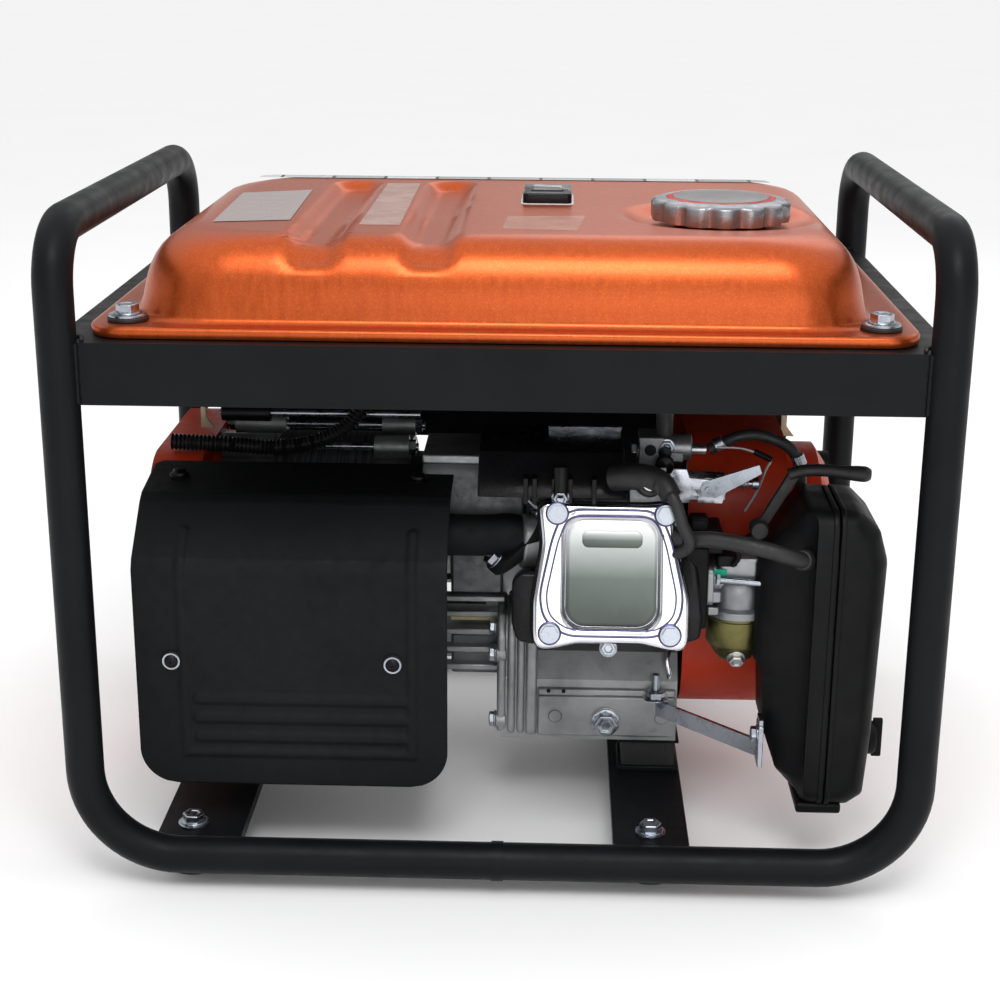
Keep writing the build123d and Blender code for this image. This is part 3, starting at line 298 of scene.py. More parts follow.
def lamination(name):
    sheets, shades = (900, 1, (1, 0.02, 0.02)), ((0.4, (0.09, 0.09, 0.1)), (0.6, (0.22, 0.22, 0.23)))
    return finish(name, (0.16, 0.16, 0.17), 0.45, 0.8, sheets, shades, None, (sheets, 0.0003, 0.6))


def glaze(name):
    shades = ((0.3, (0.74, 0.73, 0.69)), (0.7, (0.86, 0.85, 0.81)))
    return finish(name, (0.8, 0.79, 0.75), 0.15, 0, (50, 3), shades, None, ((300, 2), 0.00003, 0.2),
                  Coat_Weight=0.4)


def printed(name, ground, first, second, scale, width):
    """Printed label: plain blocks of colour, no lettering."""
    r = Recipe(name, ground, 0.35)
    blocks = r.add("TexBrick", Vector=r.coords, Scale=scale, Color1=(*first, 1), Color2=(*second, 1),
                   Mortar=(*ground, 1), Mortar_Size=0.03, Brick_Width=width, Row_Height=0.35).outputs["Color"]
    r.colour(r.mix(r.spread(r.noise(300, 3), 0.0, 0.25), blocks, ground))
    r.rough(r.spread(r.noise(80, 3), 0.25, 0.45))
    r.bump(r.noise(500, 2), 0.00003, 0.2)
    return r.material


def film(name, colour, alpha):
    wrinkle = (60, 5)
    return finish(name, colour, 0.22, 0, wrinkle, ((0.3, 0.8), (0.7, 1)), (wrinkle, -0.07, 0.18),
                  (wrinkle, 0.0002, 0.4), Alpha=alpha)


RECIPES = {
    "frame_black": (powder_coat, (0.0042, 0.0050, 0.0060)),
    "tank_orange": (tank_paint,),
    "shroud_red": (red_enamel,),
    "matte_black_sheet": (matte_sheet,),
    "cast_aluminium": (casting, (0.33, 0.335, 0.34), 0.44),
    "cast_iron": (casting, (0.12, 0.12, 0.125), 0.5),
    # darkened copy of the cast aluminium: painted shade for the adaptor block and wall
    "shaded_casting": (casting, (0.15, 0.153, 0.16), 0.5),
    "carb_alloy": (casting, (0.27, 0.28, 0.29), 0.34),
    "cap_alloy": (casting, (0.30, 0.31, 0.33), 0.28),
    "bright_steel": (machined, (0.55, 0.55, 0.56), 0.34),
    # dark blue chrome: painted reflection on the rocker cover's beads, also used for the seal rings at its
    # bolts
    "blued_chrome": (machined, (0.09, 0.085, 0.17), 0.3),
    "brushed_disc": (machined, (0.23, 0.22, 0.225), 0.36, (1, 14, 1)),
    "dark_anodised": (machined, (0.022, 0.022, 0.026), 0.42),
    "zinc": (plated, (0.40, 0.43, 0.48), 0.24),
    "bright_zinc": (plated, (0.52, 0.54, 0.59), 0.2),
    "yellow_zinc": (plated, (0.42, 0.36, 0.10), 0.3),
    "olive_plate": (plated, (0.17, 0.155, 0.06), 0.34),
    "chrome": (chrome_plate,),
    # the satin panel carries painted reflection and shade, pale at the top and dark at the foot
    "satin_panel": (satin_panel,),
    "lamination": (lamination,),
    "rubber": (rubber,),
    "foam": (foam,),
    "rope": (braid,),
    "ceramic": (glaze,),
    "black_plastic": (moulded,),
    "gloss_black": (moulded, (0.007, 0.007, 0.008), 0.25, 400),
    "red_plastic": (moulded, (0.5, 0.02, 0.015), 0.32, 500),
    "cap_red": (moulded, (0.45, 0.02, 0.015), 0.4, 500),
    "gauge_face": (moulded, (0.10, 0.10, 0.11), 0.12, 200),
    "pale_gasket": (moulded, (0.55, 0.55, 0.54), 0.5, 500),
    "green_dab": (moulded, (0.01, 0.30, 0.17), 0.35, 300),
    "beige_tape": (moulded, (0.50, 0.42, 0.24), 0.6, 500),
    # colour of the two cream plates: backdrop seen in shade through gaps at the far posts, painted shade
    "cream_paint": (moulded, (0.55, 0.52, 0.36), 0.45, 500),
    "meter_dial": (moulded, (0.75, 0.75, 0.72), 0.3, 300),
    "notice_label": (printed, (0.36, 0.33, 0.32), (0.26, 0.25, 0.245), (0.36, 0.25, 0.24), 60, 6.0),
    "edge_strip": (printed, (0.015, 0.015, 0.016), (0.25, 0.25, 0.26), (0.72, 0.72, 0.72), 22, 0.9),
    "film_label": (film, (0.75, 0.66, 0.60), 0.42),
    "clear_label": (film, (0.80, 0.62, 0.52), 0.26),
}
materials = {name: recipe(name, *values) for name, (recipe, *values) in RECIPES.items()}
EASED = {"alternator_cover": 0.9, "recoil_cover": 1.6, "crankcase": 1.5, "control_box": 0.8,
         "control_panel": 0.8}


def finish_cad_nodes():
    """Gives every CAD node the material of its slot, and rounds the edges of the sheet covers."""
    for part in frame["record"]["subparts"]:
        node = nodes[part["node"]]
        node.data.materials.clear()
        node.data.materials.append(materials[part["material_slot"]])
        if part["node"] in EASED:
            round_edges(node, "eased", EASED[part["node"]], 3, 40)


# ---- mesh helpers
def round_edges(thing, name, width, segments, angle):
    modifier = thing.modifiers.new(name, "BEVEL")
    modifier.width, modifier.segments = width * MM, segments
    modifier.limit_method, modifier.angle_limit = "ANGLE", radians(angle)


def piece(name, bm, material, body="chassis", smooth=40, bevel=0.0, node=None):
    """Turns a bmesh in millimetres into a piece that rides on a body and may replace a CAD node."""
    bmesh.ops.scale(bm, vec=(MM, MM, MM), verts=bm.verts)
    bmesh.ops.recalc_face_normals(bm, faces=bm.faces)
    mesh = bpy.data.meshes.new(name)
    bm.to_mesh(mesh)
    bm.free()
    mesh.materials.append(materials[material])
    mesh.shade_smooth()
    mesh.set_sharp_from_angle(angle=radians(smooth))
    thing = bpy.data.objects.new(name, mesh)
    bpy.context.scene.collection.objects.link(thing)
    if bevel:
        round_edges(thing, "bevel", bevel, 2, 32)
    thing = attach(thing, body)
    if node:
        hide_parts(node)
    return thing


def skin(rings, bm=None, closed_start=True):
    """Skin over closed rings of points with equal counts, capped at the end and, unless told, the start."""
    bm = bm or bmesh.new()
    rows = [[bm.verts.new(p) for p in ring] for ring in rings]
    for row, following in zip(rows, rows[1:]):
        for i in range(len(row)):
            bm.faces.new((row[i - 1], row[i], following[i], following[i - 1]))
    if closed_start:
        bm.faces.new(rows[0])
    bm.faces.new(rows[-1])
    return bm


def arc(centre, radius, first, count, sweep=90):
    """Points of an arc about a centre, from an angle in degrees, both ends included."""
    turns = [radians(first + sweep * step / count) for step in range(count + 1)]
    return [(centre[0] + radius * cos(t), centre[1] + radius * sin(t)) for t in turns]


def circle(radius, count):
    return arc((0, 0), radius, 0, count, 360)[:-1]


def rounded(half_x, half_y, radius, per_corner=8):
    """Rectangle about the origin with rounded corners."""
    x, y = half_x - radius, half_y - radius
    return [point for centre, first in (((x, y), 0), ((-x, y), 90), ((-x, -y), 180), ((x, -y), 270))
            for point in arc(centre, radius, first, per_corner)]


def polygon(points, radii, per_corner=6):
    """Closed outline with each corner rounded by its own radius."""
    result = []
    for i, corner in enumerate(points):
        corner = Vector(corner)
        into = (Vector(points[i - 1]) - corner).normalized()
        out = (Vector(points[(i + 1) % len(points)]) - corner).normalized()
        radius = radii[i] if isinstance(radii, list) else radii
        reach = radius / tan(into.angle(out) / 2)
        start, stop = corner + into * reach, corner + out * reach
        for t in (step / per_corner for step in range(per_corner + 1)):
            result.append(tuple(start * (1 - t) ** 2 + corner * 2 * t * (1 - t) + stop * t ** 2))
    return result


def neighbours(points):
    """Each point with the one before it and the one after it, round a closed outline."""
    points = [Vector(p) for p in points]
    return zip(points[-1:] + points[:-1], points, points[1:] + points[:1])


def shrink(points, by):
    """Outline moved inwards along its own normals."""
    area = sum(a[0] * b[1] - b[0] * a[1] for a, b in zip(points, points[1:] + points[:1]))
    by = copysign(by, by * area)
    moved = []
    for before, point, after in neighbours(points):
        along = (after - before).normalized()
        moved.append((point.x - along.y * by, point.y + along.x * by))
    return moved


class Seat:
    """Local frame for building: origin, and directions for local x, y and z."""

    def __init__(self, origin, x_axis=(1, 0, 0), z_axis=(0, 0, 1)):
        self.origin = Vector(origin)
        self.z = Vector(z_axis).normalized()
        self.x = Vector(x_axis)
        self.x = (self.x - self.z * self.x.dot(self.z)).normalized()
        self.y = self.z.cross(self.x)

    def at(self, x, y, z=0.0):
        return self.origin + self.x * x + self.y * y + self.z * z

    def ring(self, points, z):
        return [self.at(px, py, z) for px, py in points]

    def moved(self, x, y, z=0.0):
        return Seat(self.at(x, y, z), self.x, self.z)


def near(*origin):
    """Seat that faces the near side, with its own x and y along X and Z."""
    return Seat(origin, (1, 0, 0), (0, -1, 0))


def far(*origin):
    """Seat that faces the far side."""
    return Seat(origin, (-1, 0, 0), (0, 1, 0))


def leftward(*origin):
    return Seat(origin, (0, 1, 0), (-1, 0, 0))


def rightward(*origin):
    """Seat that faces right, with its own x and y along Y and Z."""
    return Seat(origin, (0, 1, 0), (1, 0, 0))


FLAT, NEAR, ACROSS = Seat((0, 0, 0)), near(0, 0, 0), rightward(0, 0, 0)


def prism(seat, points, low, high, edge=0.0, bm=None):
    """Prism of an outline between two local heights, with rounded edges of the given size."""
    if not edge:
        return skin([seat.ring(points, low), seat.ring(points, high)], bm)
    turns = [radians(t) for t in (90, 60, 30, 0)]
    steps = [(edge * (1 - cos(t)), low + edge * (1 - sin(t))) for t in turns]
    steps += [(edge * (1 - cos(t)), high - edge * (1 - sin(t))) for t in reversed(turns)]
    return skin([seat.ring(shrink(points, inward), level) for inward, level in steps], bm)


def turned(seat, profile, count=40, bm=None):
    """Body of revolution about the seat's z, from (radius, height) pairs."""
    return skin([seat.ring(circle(radius, count), height) for radius, height in profile], bm)


def hex_bolt(seat, size, bm=None):
    """Hex flange bolt head with a chamfered top and a shallow cup."""
    washer = turned(seat, [(size * 1.12, 0), (size * 1.12, size * 0.12), (size * 0.9, size * 0.22)], 28, bm)
    reach, top = size * 1.62 / 1.732, size * 0.8
    return skin([seat.ring(circle(reach * share, 6), level) for share, level in (
        (1, size * 0.15), (1, top - size * 0.08), (0.9, top), (0.62, top), (0.5, top - size * 0.1))], washer)


def box(low, high, bm=None):
    (x0, y0, z0), (x1, y1, z1) = low, high
    return prism(FLAT, [(x0, y0), (x1, y0), (x1, y1), (x0, y1)], z0, z1, 0, bm)


def curve(points, steps=8):
    """Catmull-Rom points through the given ones."""
    points = [Vector(p) for p in points]
    padded = [points[0] * 2 - points[1], *points, points[-1] * 2 - points[-2]]
    result = []
    for a, b, c, d in zip(padded, padded[1:], padded[2:], padded[3:]):
        for t in (step / steps for step in range(steps)):
            result.append(0.5 * ((2 * b) + (c - a) * t + (2 * a - 5 * b + 4 * c - d) * t * t
                                 + (3 * b - a - 3 * c + d) * t ** 3))
    return result + [points[-1]]


def tube(path, radius, count=14, bm=None):
    """Round bar along a path; radius may be a number or a function of the distance along it."""
    path = [Vector(p) for p in path]
    rings, travelled = [], 0.0
    normal = (path[1] - path[0]).normalized().orthogonal().normalized()
    for i, point in enumerate(path):
        along = (path[min(i + 1, len(path) - 1)] - path[max(i - 1, 0)]).normalized()
        normal = (normal - along * normal.dot(along)).normalized()
        across = along.cross(normal)
        if i:
            travelled += (point - path[i - 1]).length
        size = radius(travelled) if callable(radius) else radius
        rings.append([point + (normal * u + across * v) * size for u, v in circle(1, count)])
    return skin(rings, bm)


def coil(start, stop, radius, turns, steps=14):
    """Points of a helical spring between two ends."""
    start, stop = Vector(start), Vector(stop)
    side = (stop - start).orthogonal().normalized()
    other = (stop - start).normalized().cross(side)
    round_once = [side * u + other * v for u, v in circle(radius, steps)]
    return [start.lerp(stop, i / (turns * steps)) + round_once[i % steps] for i in range(turns * steps + 1)]


def weld_bead(name, path, radius=1.9):
    """Stack-of-coins bead: ripples along the line of the joint."""
    bead = tube(curve(path, 16), lambda d: radius * (0.86 + 0.14 * sin(d * 3.4)), 10)
    piece(name, bead, "frame_black", smooth=60)


def boxes(name, material, bevel, *spans):
    """One piece made of boxes, each given by its low and high corner."""
    bm = bmesh.new()
    for low, high in spans:
        box(low, high, bm)
    piece(name, bm, material, bevel=bevel)


def bolt(name, seat, size, bevel=0.25, material="zinc"):
    piece(name, hex_bolt(seat, size), material, bevel=bevel)


def smooth_step(value, low, high):
    t = min(max((value - low) / (high - low), 0.0), 1.0)
    return t * t * (3 - 2 * t)


# ---- tank
TANK_X, TANK_Y = (-240.0, 236.0), 180.0
TANK_MIDDLE = sum(TANK_X) / 2
FLANGE_HALF, FLANGE_MIDDLE = (263.5, 194.0), 0.5
FLANGE_TOP, TOP = 386.0, 440.0
CAP, NECK_RADIUS = (146.0, -48.0), 27.0
CAP_LOBES, CAP_POINTS = 14, 168
GROOVES, GROOVE_END, GROOVE_DEPTH = (-120.5, -47.5), 98.0, 7.0
DISH_RADII, DISH_DEPTH = (50.0, 72.0), 7.2
TANK_CORNER, FILLET_REACH = 50.0, 6.5
CORNER_STEPS, EDGE_STEPS, TOP_RINGS = 22, 90, 58
WALL = [(0.0, 386.0), (0.35, 389.5), (1.6, 396.0), (2.9, 403.0), (4.3, 410.0), (6.2, 416.5), (8.8, 422.5),
        (12.0, 427.6), (15.8, 431.8), (20.2, 435.2), (25.0, 437.6), (30.5, 439.2), (37.0, 440.0)]


def tank_height(x, y, level):
    """Level of the pressed top: two grooves with a rounded far end and the cap's dish, sunk into the form."""
    groove = min(hypot(x - middle, max(y - GROOVE_END, 0.0)) for middle in GROOVES)
    sink = GROOVE_DEPTH * (1 - smooth_step(groove, 8.0, 20.5)) * smooth_step(level, 421.0, 431.0)
    dish = DISH_DEPTH * (1 - smooth_step(hypot(x - CAP[0], y - CAP[1]), *DISH_RADII))
    return max(level - max(sink, dish), FLANGE_TOP)


def shoulder_level(x, y):
    """Level of the form above a point, falling along the wall's profile near the edge."""
    over_x = abs(x - TANK_MIDDLE) - TANK_X[1] + TANK_MIDDLE + TANK_CORNER
    over_y = abs(y) - TANK_Y + TANK_CORNER
    inset = TANK_CORNER - hypot(max(over_x, 0), max(over_y, 0)) - min(max(over_x, over_y), 0)
    for (a, low), (b, high) in zip(WALL, WALL[1:]):
        if inset < b:
            return low + (high - low) * max(inset - a, 0) / (b - a)
    return TOP


def tank_outline(inset):
    """Rounded rectangle of the wall at that inset; the left end leans in more and its corners are fuller."""
    left, right = TANK_X[0] + inset * 1.12, TANK_X[1] - inset * 0.98
    side, radius = TANK_Y - inset, TANK_CORNER - 0.05 * inset
    arcs = [arc((x - copysign(r, x), y - copysign(r, y)), r, first, CORNER_STEPS) for x, y, first, r in (
        (right, side, 0, radius + 6), (left, side, 90, radius + 20 * min(inset / 25, 1)),
        (left, -side, 180, radius + 4), (right, -side, 270, radius))]
    points = []
    for corner, following in zip(arcs, arcs[1:] + arcs[:1]):
        start = Vector(corner[-1])
        points += [Vector(p) for p in corner]
        points += [start.lerp(following[0], step / EDGE_STEPS) for step in range(1, EDGE_STEPS)]
    return points


def lengths(points):
    """Distance along a line of points to each of them."""
    reach = [0.0]
    for a, b in zip(points, points[1:]):
        reach.append(reach[-1] + (b - a).length)
    return reach


def match(points, guide):
    """The closed outline with points spaced round it as the guide's are."""
    points = [Vector(p) for p in points + points[:1]]
    reach, wanted = lengths(points), lengths(guide + guide[:1])
    result, j = [], 0
    for distance in wanted[:-1]:
        goal = distance * reach[-1] / wanted[-1]
        while reach[j + 1] < goal:
            j += 1
        result.append(points[j].lerp(points[j + 1], (goal - reach[j]) / max(reach[j + 1] - reach[j], 1e-6)))
    return result


def tank_skin():
    """Flange with a folded rim, fillet, leaning walls and pressed top, open at the cap's neck."""
    rim = match([(x + FLANGE_MIDDLE, y) for x, y in rounded(*FLANGE_HALF, 24, 16)], tank_outline(0))
    rings = [[(x - copysign(inward, x), y - copysign(inward, y), level) for x, y in rim]
             for inward, level in ((0.6, 379.2), (0, 380.6), (0, 384.2), (0.7, 385.5), (2.2, FLANGE_TOP))]
    foot = tank_outline(-FILLET_REACH)
    rings += [[(*p.lerp(q, share), FLANGE_TOP) for p, q in zip(rim, foot)] for share in (0.25, 0.5, 0.75)]
    for turn in (radians(15 * step) for step in range(7)):
        outline = tank_outline(-FILLET_REACH * (1 - sin(turn)))
        rings.append([(*p, FLANGE_TOP + 5.0 * (1 - cos(turn))) for p in outline])
    for inset, level in WALL[2:]:
        rings.append([(*p, tank_height(*p, level)) for p in tank_outline(inset)])
    top = tank_outline(WALL[-1][0])
    for step in range(1, TOP_RINGS):
        ring = [p.lerp((TANK_MIDDLE, 0), step / TOP_RINGS) for p in top]
        rings.append([(*p, tank_height(*p, TOP)) for p in ring])
    bm = skin(rings, closed_start=False)
    mouth = [f for f in bm.faces if (f.calc_center_median().xy - Vector(CAP)).length < NECK_RADIUS]
    bmesh.ops.delete(bm, geom=mouth, context="FACES")
    return bm


def sheet(rows):
    """Open mesh over a grid of points."""
    bm = bmesh.new()
    grid = [[bm.verts.new(p) for p in row] for row in rows]
    for row, following in zip(grid, grid[1:]):
        for j in range(len(row) - 1):
            bm.faces.new((row[j], row[j + 1], following[j + 1], following[j]))
    return bm


def decal(name, corners, material, lift=0.35, steps=14):
    """Thin label laid on the tank's pressed top."""
    a, b, c, d = (Vector(p) for p in corners)
    shares = [i / steps for i in range(steps + 1)]
    rows = [[a.lerp(b, u).lerp(d.lerp(c, u), v) for v in shares] for u in shares]
    rows = [[(*p, tank_height(*p, shoulder_level(*p)) + lift) for p in row] for row in rows]
    piece(name, sheet(rows), material)


def build_tank():
    piece("tank_shell", tank_skin(), "tank_orange", smooth=70, node="tank_upper")
    for i, (x, y) in enumerate([(x, y) for x in (-240, 240) for y in (-169, 169)]):
        seat = Seat((x, y, FLANGE_TOP))
        for name, profile, material in (
                ("grommet_lip", [(12.5, 0), (13.2, 0.8), (13.2, 2.2), (12.4, 2.9), (8, 2.9)], "rubber"),
                ("tank_washer", [(11.9, 2.9), (12.2, 3.2), (12.2, 4.2), (11.7, 4.5), (6, 4.5)], "zinc")):
            piece(f"{name}_{i}", turned(seat, profile, 36), material)
        bolt(f"tank_bolt_head_{i}", seat.moved(0, 0, 4.5), 8, 0.35)
    neck = turned(Seat((*CAP, 0)), [(22.85, 418), (22.85, 438.9), (23.1, 439.7), (23.7, 439.7), (24.0, 438.9),
                                    (24.0, 435.2), (25.4, 434.0), (31.5, 433.6), (33.0, 432.4)], 60)
    bmesh.ops.delete(neck, geom=[f for f in neck.faces if len(f.verts) > 4], context="FACES_ONLY")
    piece("filler_neck", neck, "tank_orange", smooth=60)
    gauge, glass = Seat((26.5, 22, 0)), Seat((26.5, 23, 0))
    piece("gauge_body", prism(gauge, rounded(17.5, 27, 4), 438.5, 447.6, 1.4), "gloss_black", smooth=50,
          node="fuel_gauge")
    piece("gauge_rim", prism(glass, rounded(12, 15, 2.5), 447.2, 448.3, 0.4), "gloss_black", smooth=50)
    piece("gauge_window", prism(glass, rounded(10.2, 13.2, 1.5), 447.9, 448.6, 0.2), "gauge_face")
    piece("gauge_gasket", prism(gauge, rounded(19, 28.6, 5), 438.5, 440.5, 0.5), "pale_gasket")
    decal("label_notice", [(-199, 36), (-150, 57), (-145, -95), (-195, -107)], "notice_label")
    decal("label_film", [(-97, 100), (-72, 100), (-70, -112), (-97, -112)], "film_label", 0.3, 30)
    decal("label_clear", [(0, -68), (53, -62), (47, -128), (-2, -122)], "clear_label", 0.3)
    decal("label_edge", [(-198, 153), (196, 153), (200, 128), (-202, 128)], "edge_strip", 0.4, 60)


def fluted(radius, depth):
    """Circle that dips by the depth at each of the cap's lobes."""
    unit = circle(1, CAP_POINTS)
    dips = [(0.5 + 0.5 * cos(CAP_LOBES * 2 * pi * i / CAP_POINTS)) ** 2.2 for i in range(CAP_POINTS)]
    return [(x * (radius - depth * dip), y * (radius - depth * dip)) for dip, (x, y) in zip(dips, unit)]


def build_cap():
    """Die-cast cap, hollow below: shallow flutes round the skirt, red ring and a brushed disc on top."""
    seat = Seat((*CAP, 0))
    hollow = [(circle(r, CAP_POINTS), z) for r, z in ((38.0, 446.0), (40.5, 444.5), (41.3, 437.2))]
    skirt = [(fluted(44, 2.5), 437.0), (fluted(47.4, 3.4), 437.4), (fluted(48.0, 3.6), 439.0)]
    for turn in (radians(t) for t in (0, 20, 40, 60, 80, 90)):
        skirt.append((fluted(44 + 4 * cos(turn), 3.6 - 1.6 * sin(turn)), 448.4 + 3 * sin(turn)))
    rim = ((38.5, 452.6), (37.6, 452.3), (37, 451.6), (36.4, 451.6))
    crown = [(circle(r, CAP_POINTS), z) for r, z in rim]
    rings = [seat.ring(outline, z) for outline, z in [*hollow, *skirt, (fluted(41.5, 0.8), 452.0), *crown]]
    piece("cap_casting", skin(rings), "cap_alloy", "cap_shell", 35, node="fuel_cap_shell")
    ring = turned(seat, [(37.2, 451.3), (37.2, 452.2), (35.2, 452.8), (33.6, 452.8), (33.2, 451.5)], 72)
    piece("cap_red_ring", ring, "cap_red", "cap_shell")
    disc = turned(seat, [(33.4, 451.4), (33.2, 452.9), (31, 453.4), (20, 454.1), (8, 454.4)], 72)
    piece("cap_disc", disc, "brushed_disc", "cap_shell", smooth=60)


# ---- rocker cover
CRANK, TILT = (32.0, 162.0), radians(16.0)
HEAD = Seat((73.0, *CRANK), (1, 0, 0), (0, -cos(TILT), sin(TILT)))
COVER_POINTS, COVER_FACE = 220, 207.2


def polar(points):
    """The outline sampled at equal angles about its seat, so that two outlines can be joined."""
    result = []
    for dx, dy in circle(1, COVER_POINTS):
        best = 0.0
        for (ax, ay), (bx, by) in zip(points, points[1:] + points[:1]):
            cross = dx * (by - ay) - dy * (bx - ax)
            if abs(cross) > 1e-9 and -1e-6 <= (ax * dy - ay * dx) / cross <= 1 + 1e-6:
                best = max(best, (ax * (by - ay) - ay * (bx - ax)) / cross)
        result.append((dx * best, dy * best))
    return result


def eased(points, times):
    """The outline with its corners relaxed by averaging neighbours."""
    for _ in range(times):
        points = [(before + point * 2 + after) / 4 for before, point, after in neighbours(points)]
    return [tuple(p) for p in points]


def between(first, second, share):
    return [Vector(a).lerp(b, share) for a, b in zip(first, second)]


def window(half_x, half_y, radius):
    """Outline of the cover's dish, which sits a little off the cover's centre."""
    return [(x + 0.6, y - 0.4) for x, y in rounded(half_x, half_y, radius)]


def build_rocker_cover():
    """Chromed pressing: waisted, with an eared corner at each bolt, a double bead in dark chrome for painted
    reflection, and a satin dish with painted reflection and shade.
    """
    edge = [(-49.5, 48.5), (-28, 45.5), (26, 45.2), (41, 47.5), (42.2, 22), (53, -18), (52.5, -53.5),
            (34, -50.5), (22, -47.5), (-22, -47.5), (-34, -50.5), (-51.5, -53.5), (-51.8, -20), (-46, 18)]
    bead = [(-31, 40.2), (31, 40.2), (39, 20), (47, -16), (45, -31), (32, -41), (-29, -41), (-43, -31),
            (-45.5, -16), (-38, 20)]
    outer = eased(polar(polygon(edge, [8, 10, 10, 7, 26, 24, 9, 10, 10, 10, 10, 9, 24, 26])), 4)
    bead_ring = eased(polar(polygon(bead, [13, 13, 20, 14, 8, 9, 9, 8, 14, 20])), 12)
    # the beads are drawn in a dark blue metal: painted reflection on the chrome
    for i, (inward, size) in enumerate(((-1.6, 1.0), (2.6, 0.8))):
        loop = HEAD.ring(eased(shrink(bead_ring, inward), 6), 206.7)
        piece(f"rocker_bead_{i}", tube(loop + loop[:2], size, 10), "blued_chrome", smooth=80)
    steps = [(outer, 187.0), (outer, COVER_FACE - 3)]
    for turn in (radians(t) for t in (25, 50, 75, 90)):
        steps.append((shrink(outer, 3 * (1 - cos(turn))), COVER_FACE - 3 + 3 * sin(turn)))
    rim, dish = steps[-1][0], polar(window(33, 38.6, 14))
    steps += [(between(rim, dish, share), COVER_FACE) for share in (0.25, 0.5, 0.75)]
    steps += [(polar(window(33 - inward, 38.6 - inward, 14)), COVER_FACE + level) for inward, level in (
        (-1.2, 0.1), (-0.2, -0.2), (0.6, -1.0), (1.2, -2.4), (1.7, -3.6), (3.0, -4.6))]
    piece("rocker_chrome", skin([HEAD.ring(outline, z) for outline, z in steps]), "chrome", smooth=50,
          node="rocker_cover")
    panel = [HEAD.ring(window(30.4 - i, 36 - i, 13 - i), COVER_FACE - drop)
             for i, drop in ((0, 4.9), (0.2, 4.2), (1.2, 3.7), (3, 3.6))]
    # the dish and the plain bar take the satin panel's painted reflection and shade
    piece("rocker_dish", skin(panel), "satin_panel")
    bar = prism(HEAD.moved(1, 22), rounded(20, 5.5, 4), COVER_FACE - 4, COVER_FACE - 2.9, 0.6)
    piece("rocker_plain_bar", bar, "satin_panel")
    piece("rocker_gasket", prism(HEAD, shrink(outer, -1.6), 182.5, 187.0, 0.8), "black_plastic")
    # seal rings at the bolts, drawn in the same dark chrome as the beads' painted reflection
    for i, (x, y) in enumerate([(-40, -41), (40, -41), (-36, 39), (36, 39)]):
        ring = turned(HEAD.moved(x, y, COVER_FACE), [(7.9, -0.4), (7.9, 1.0), (7.3, 1.5), (5, 1.5)], 36)
        piece(f"rocker_seal_{i}", ring, "blued_chrome")
    bolt("gasket_bolt", HEAD.moved(0, -52.5, 184), 5.6)
    for name, outline in (
            ("cowl_left", [(-47, -52), (-62, -49), (-66, -36), (-66, -8), (-60, -2), (-44, -2)]),
            ("cowl_right", [(46, -50), (62, -46), (64, -30), (60, 4), (52, 18), (42, 18)])):
        piece(name, prism(HEAD, polygon(outline, 6), 136, 184, 3.0), "gloss_black")


# ---- muffler shield
SHIELD_X = (-249.0, -36.0)
SHIELD_LINE = [(-165, 58), (-165, 214), (-161.5, 221.5), (-128.5, 252), (-121, 256), (-70, 264)]
FOOT_RADIUS, TOP_CUT = 26.0, 5.0
UPRIGHTS, RIDGE_HEIGHT = (-216.0, -60.0), 1.9
SHIELD_COLUMNS, SHIELD_ROWS = 150, 190


def shield_ridge(x, s):
    """Raised pressing: an upright at each side joined along the bottom, and three bars."""
    height = 0.0
    for middle in UPRIGHTS:
        beyond = max(24.0 - s, s - 186.0, 0.0)
        height = max(height, 1 - smooth_step(hypot(x - middle, beyond), 1.6, 4.6))
    for level, half, reach in ((24.0, 1.4, 0), (36.0, 2.2, 9), (50.0, 2.2, 9), (64.0, 2.2, 9)):
        beyond = max(UPRIGHTS[0] + reach - x, x - UPRIGHTS[1] + reach * 2 / 3, 0.0)
        height = max(height, 1 - smooth_step(hypot(beyond, s - level), half, half + 2.4))
    return RIDGE_HEIGHT * height


def shield_row(line, reach, s):
    """Points across the sheet at a distance s along its bent line."""
    k = max(j for j in range(len(reach) - 1) if reach[j] <= s + 1e-6)
    along = (line[k + 1] - line[k]).normalized()
    place = line[k].lerp(line[k + 1], (s - reach[k]) / (reach[k + 1] - reach[k]))
    corner = max(FOOT_RADIUS - s, 0.0)
    cut = FOOT_RADIUS - sqrt(FOOT_RADIUS ** 2 - corner ** 2) + max(s - reach[-1] + TOP_CUT, 0.0)
    row, width = [], SHIELD_X[1] - SHIELD_X[0] - 2 * cut
    for x in (SHIELD_X[0] + cut + width * j / SHIELD_COLUMNS for j in range(SHIELD_COLUMNS + 1)):
        rise = shield_ridge(x, s)
        row.append((x, place.x - along.y * rise, place.y + along.x * rise))
    return row


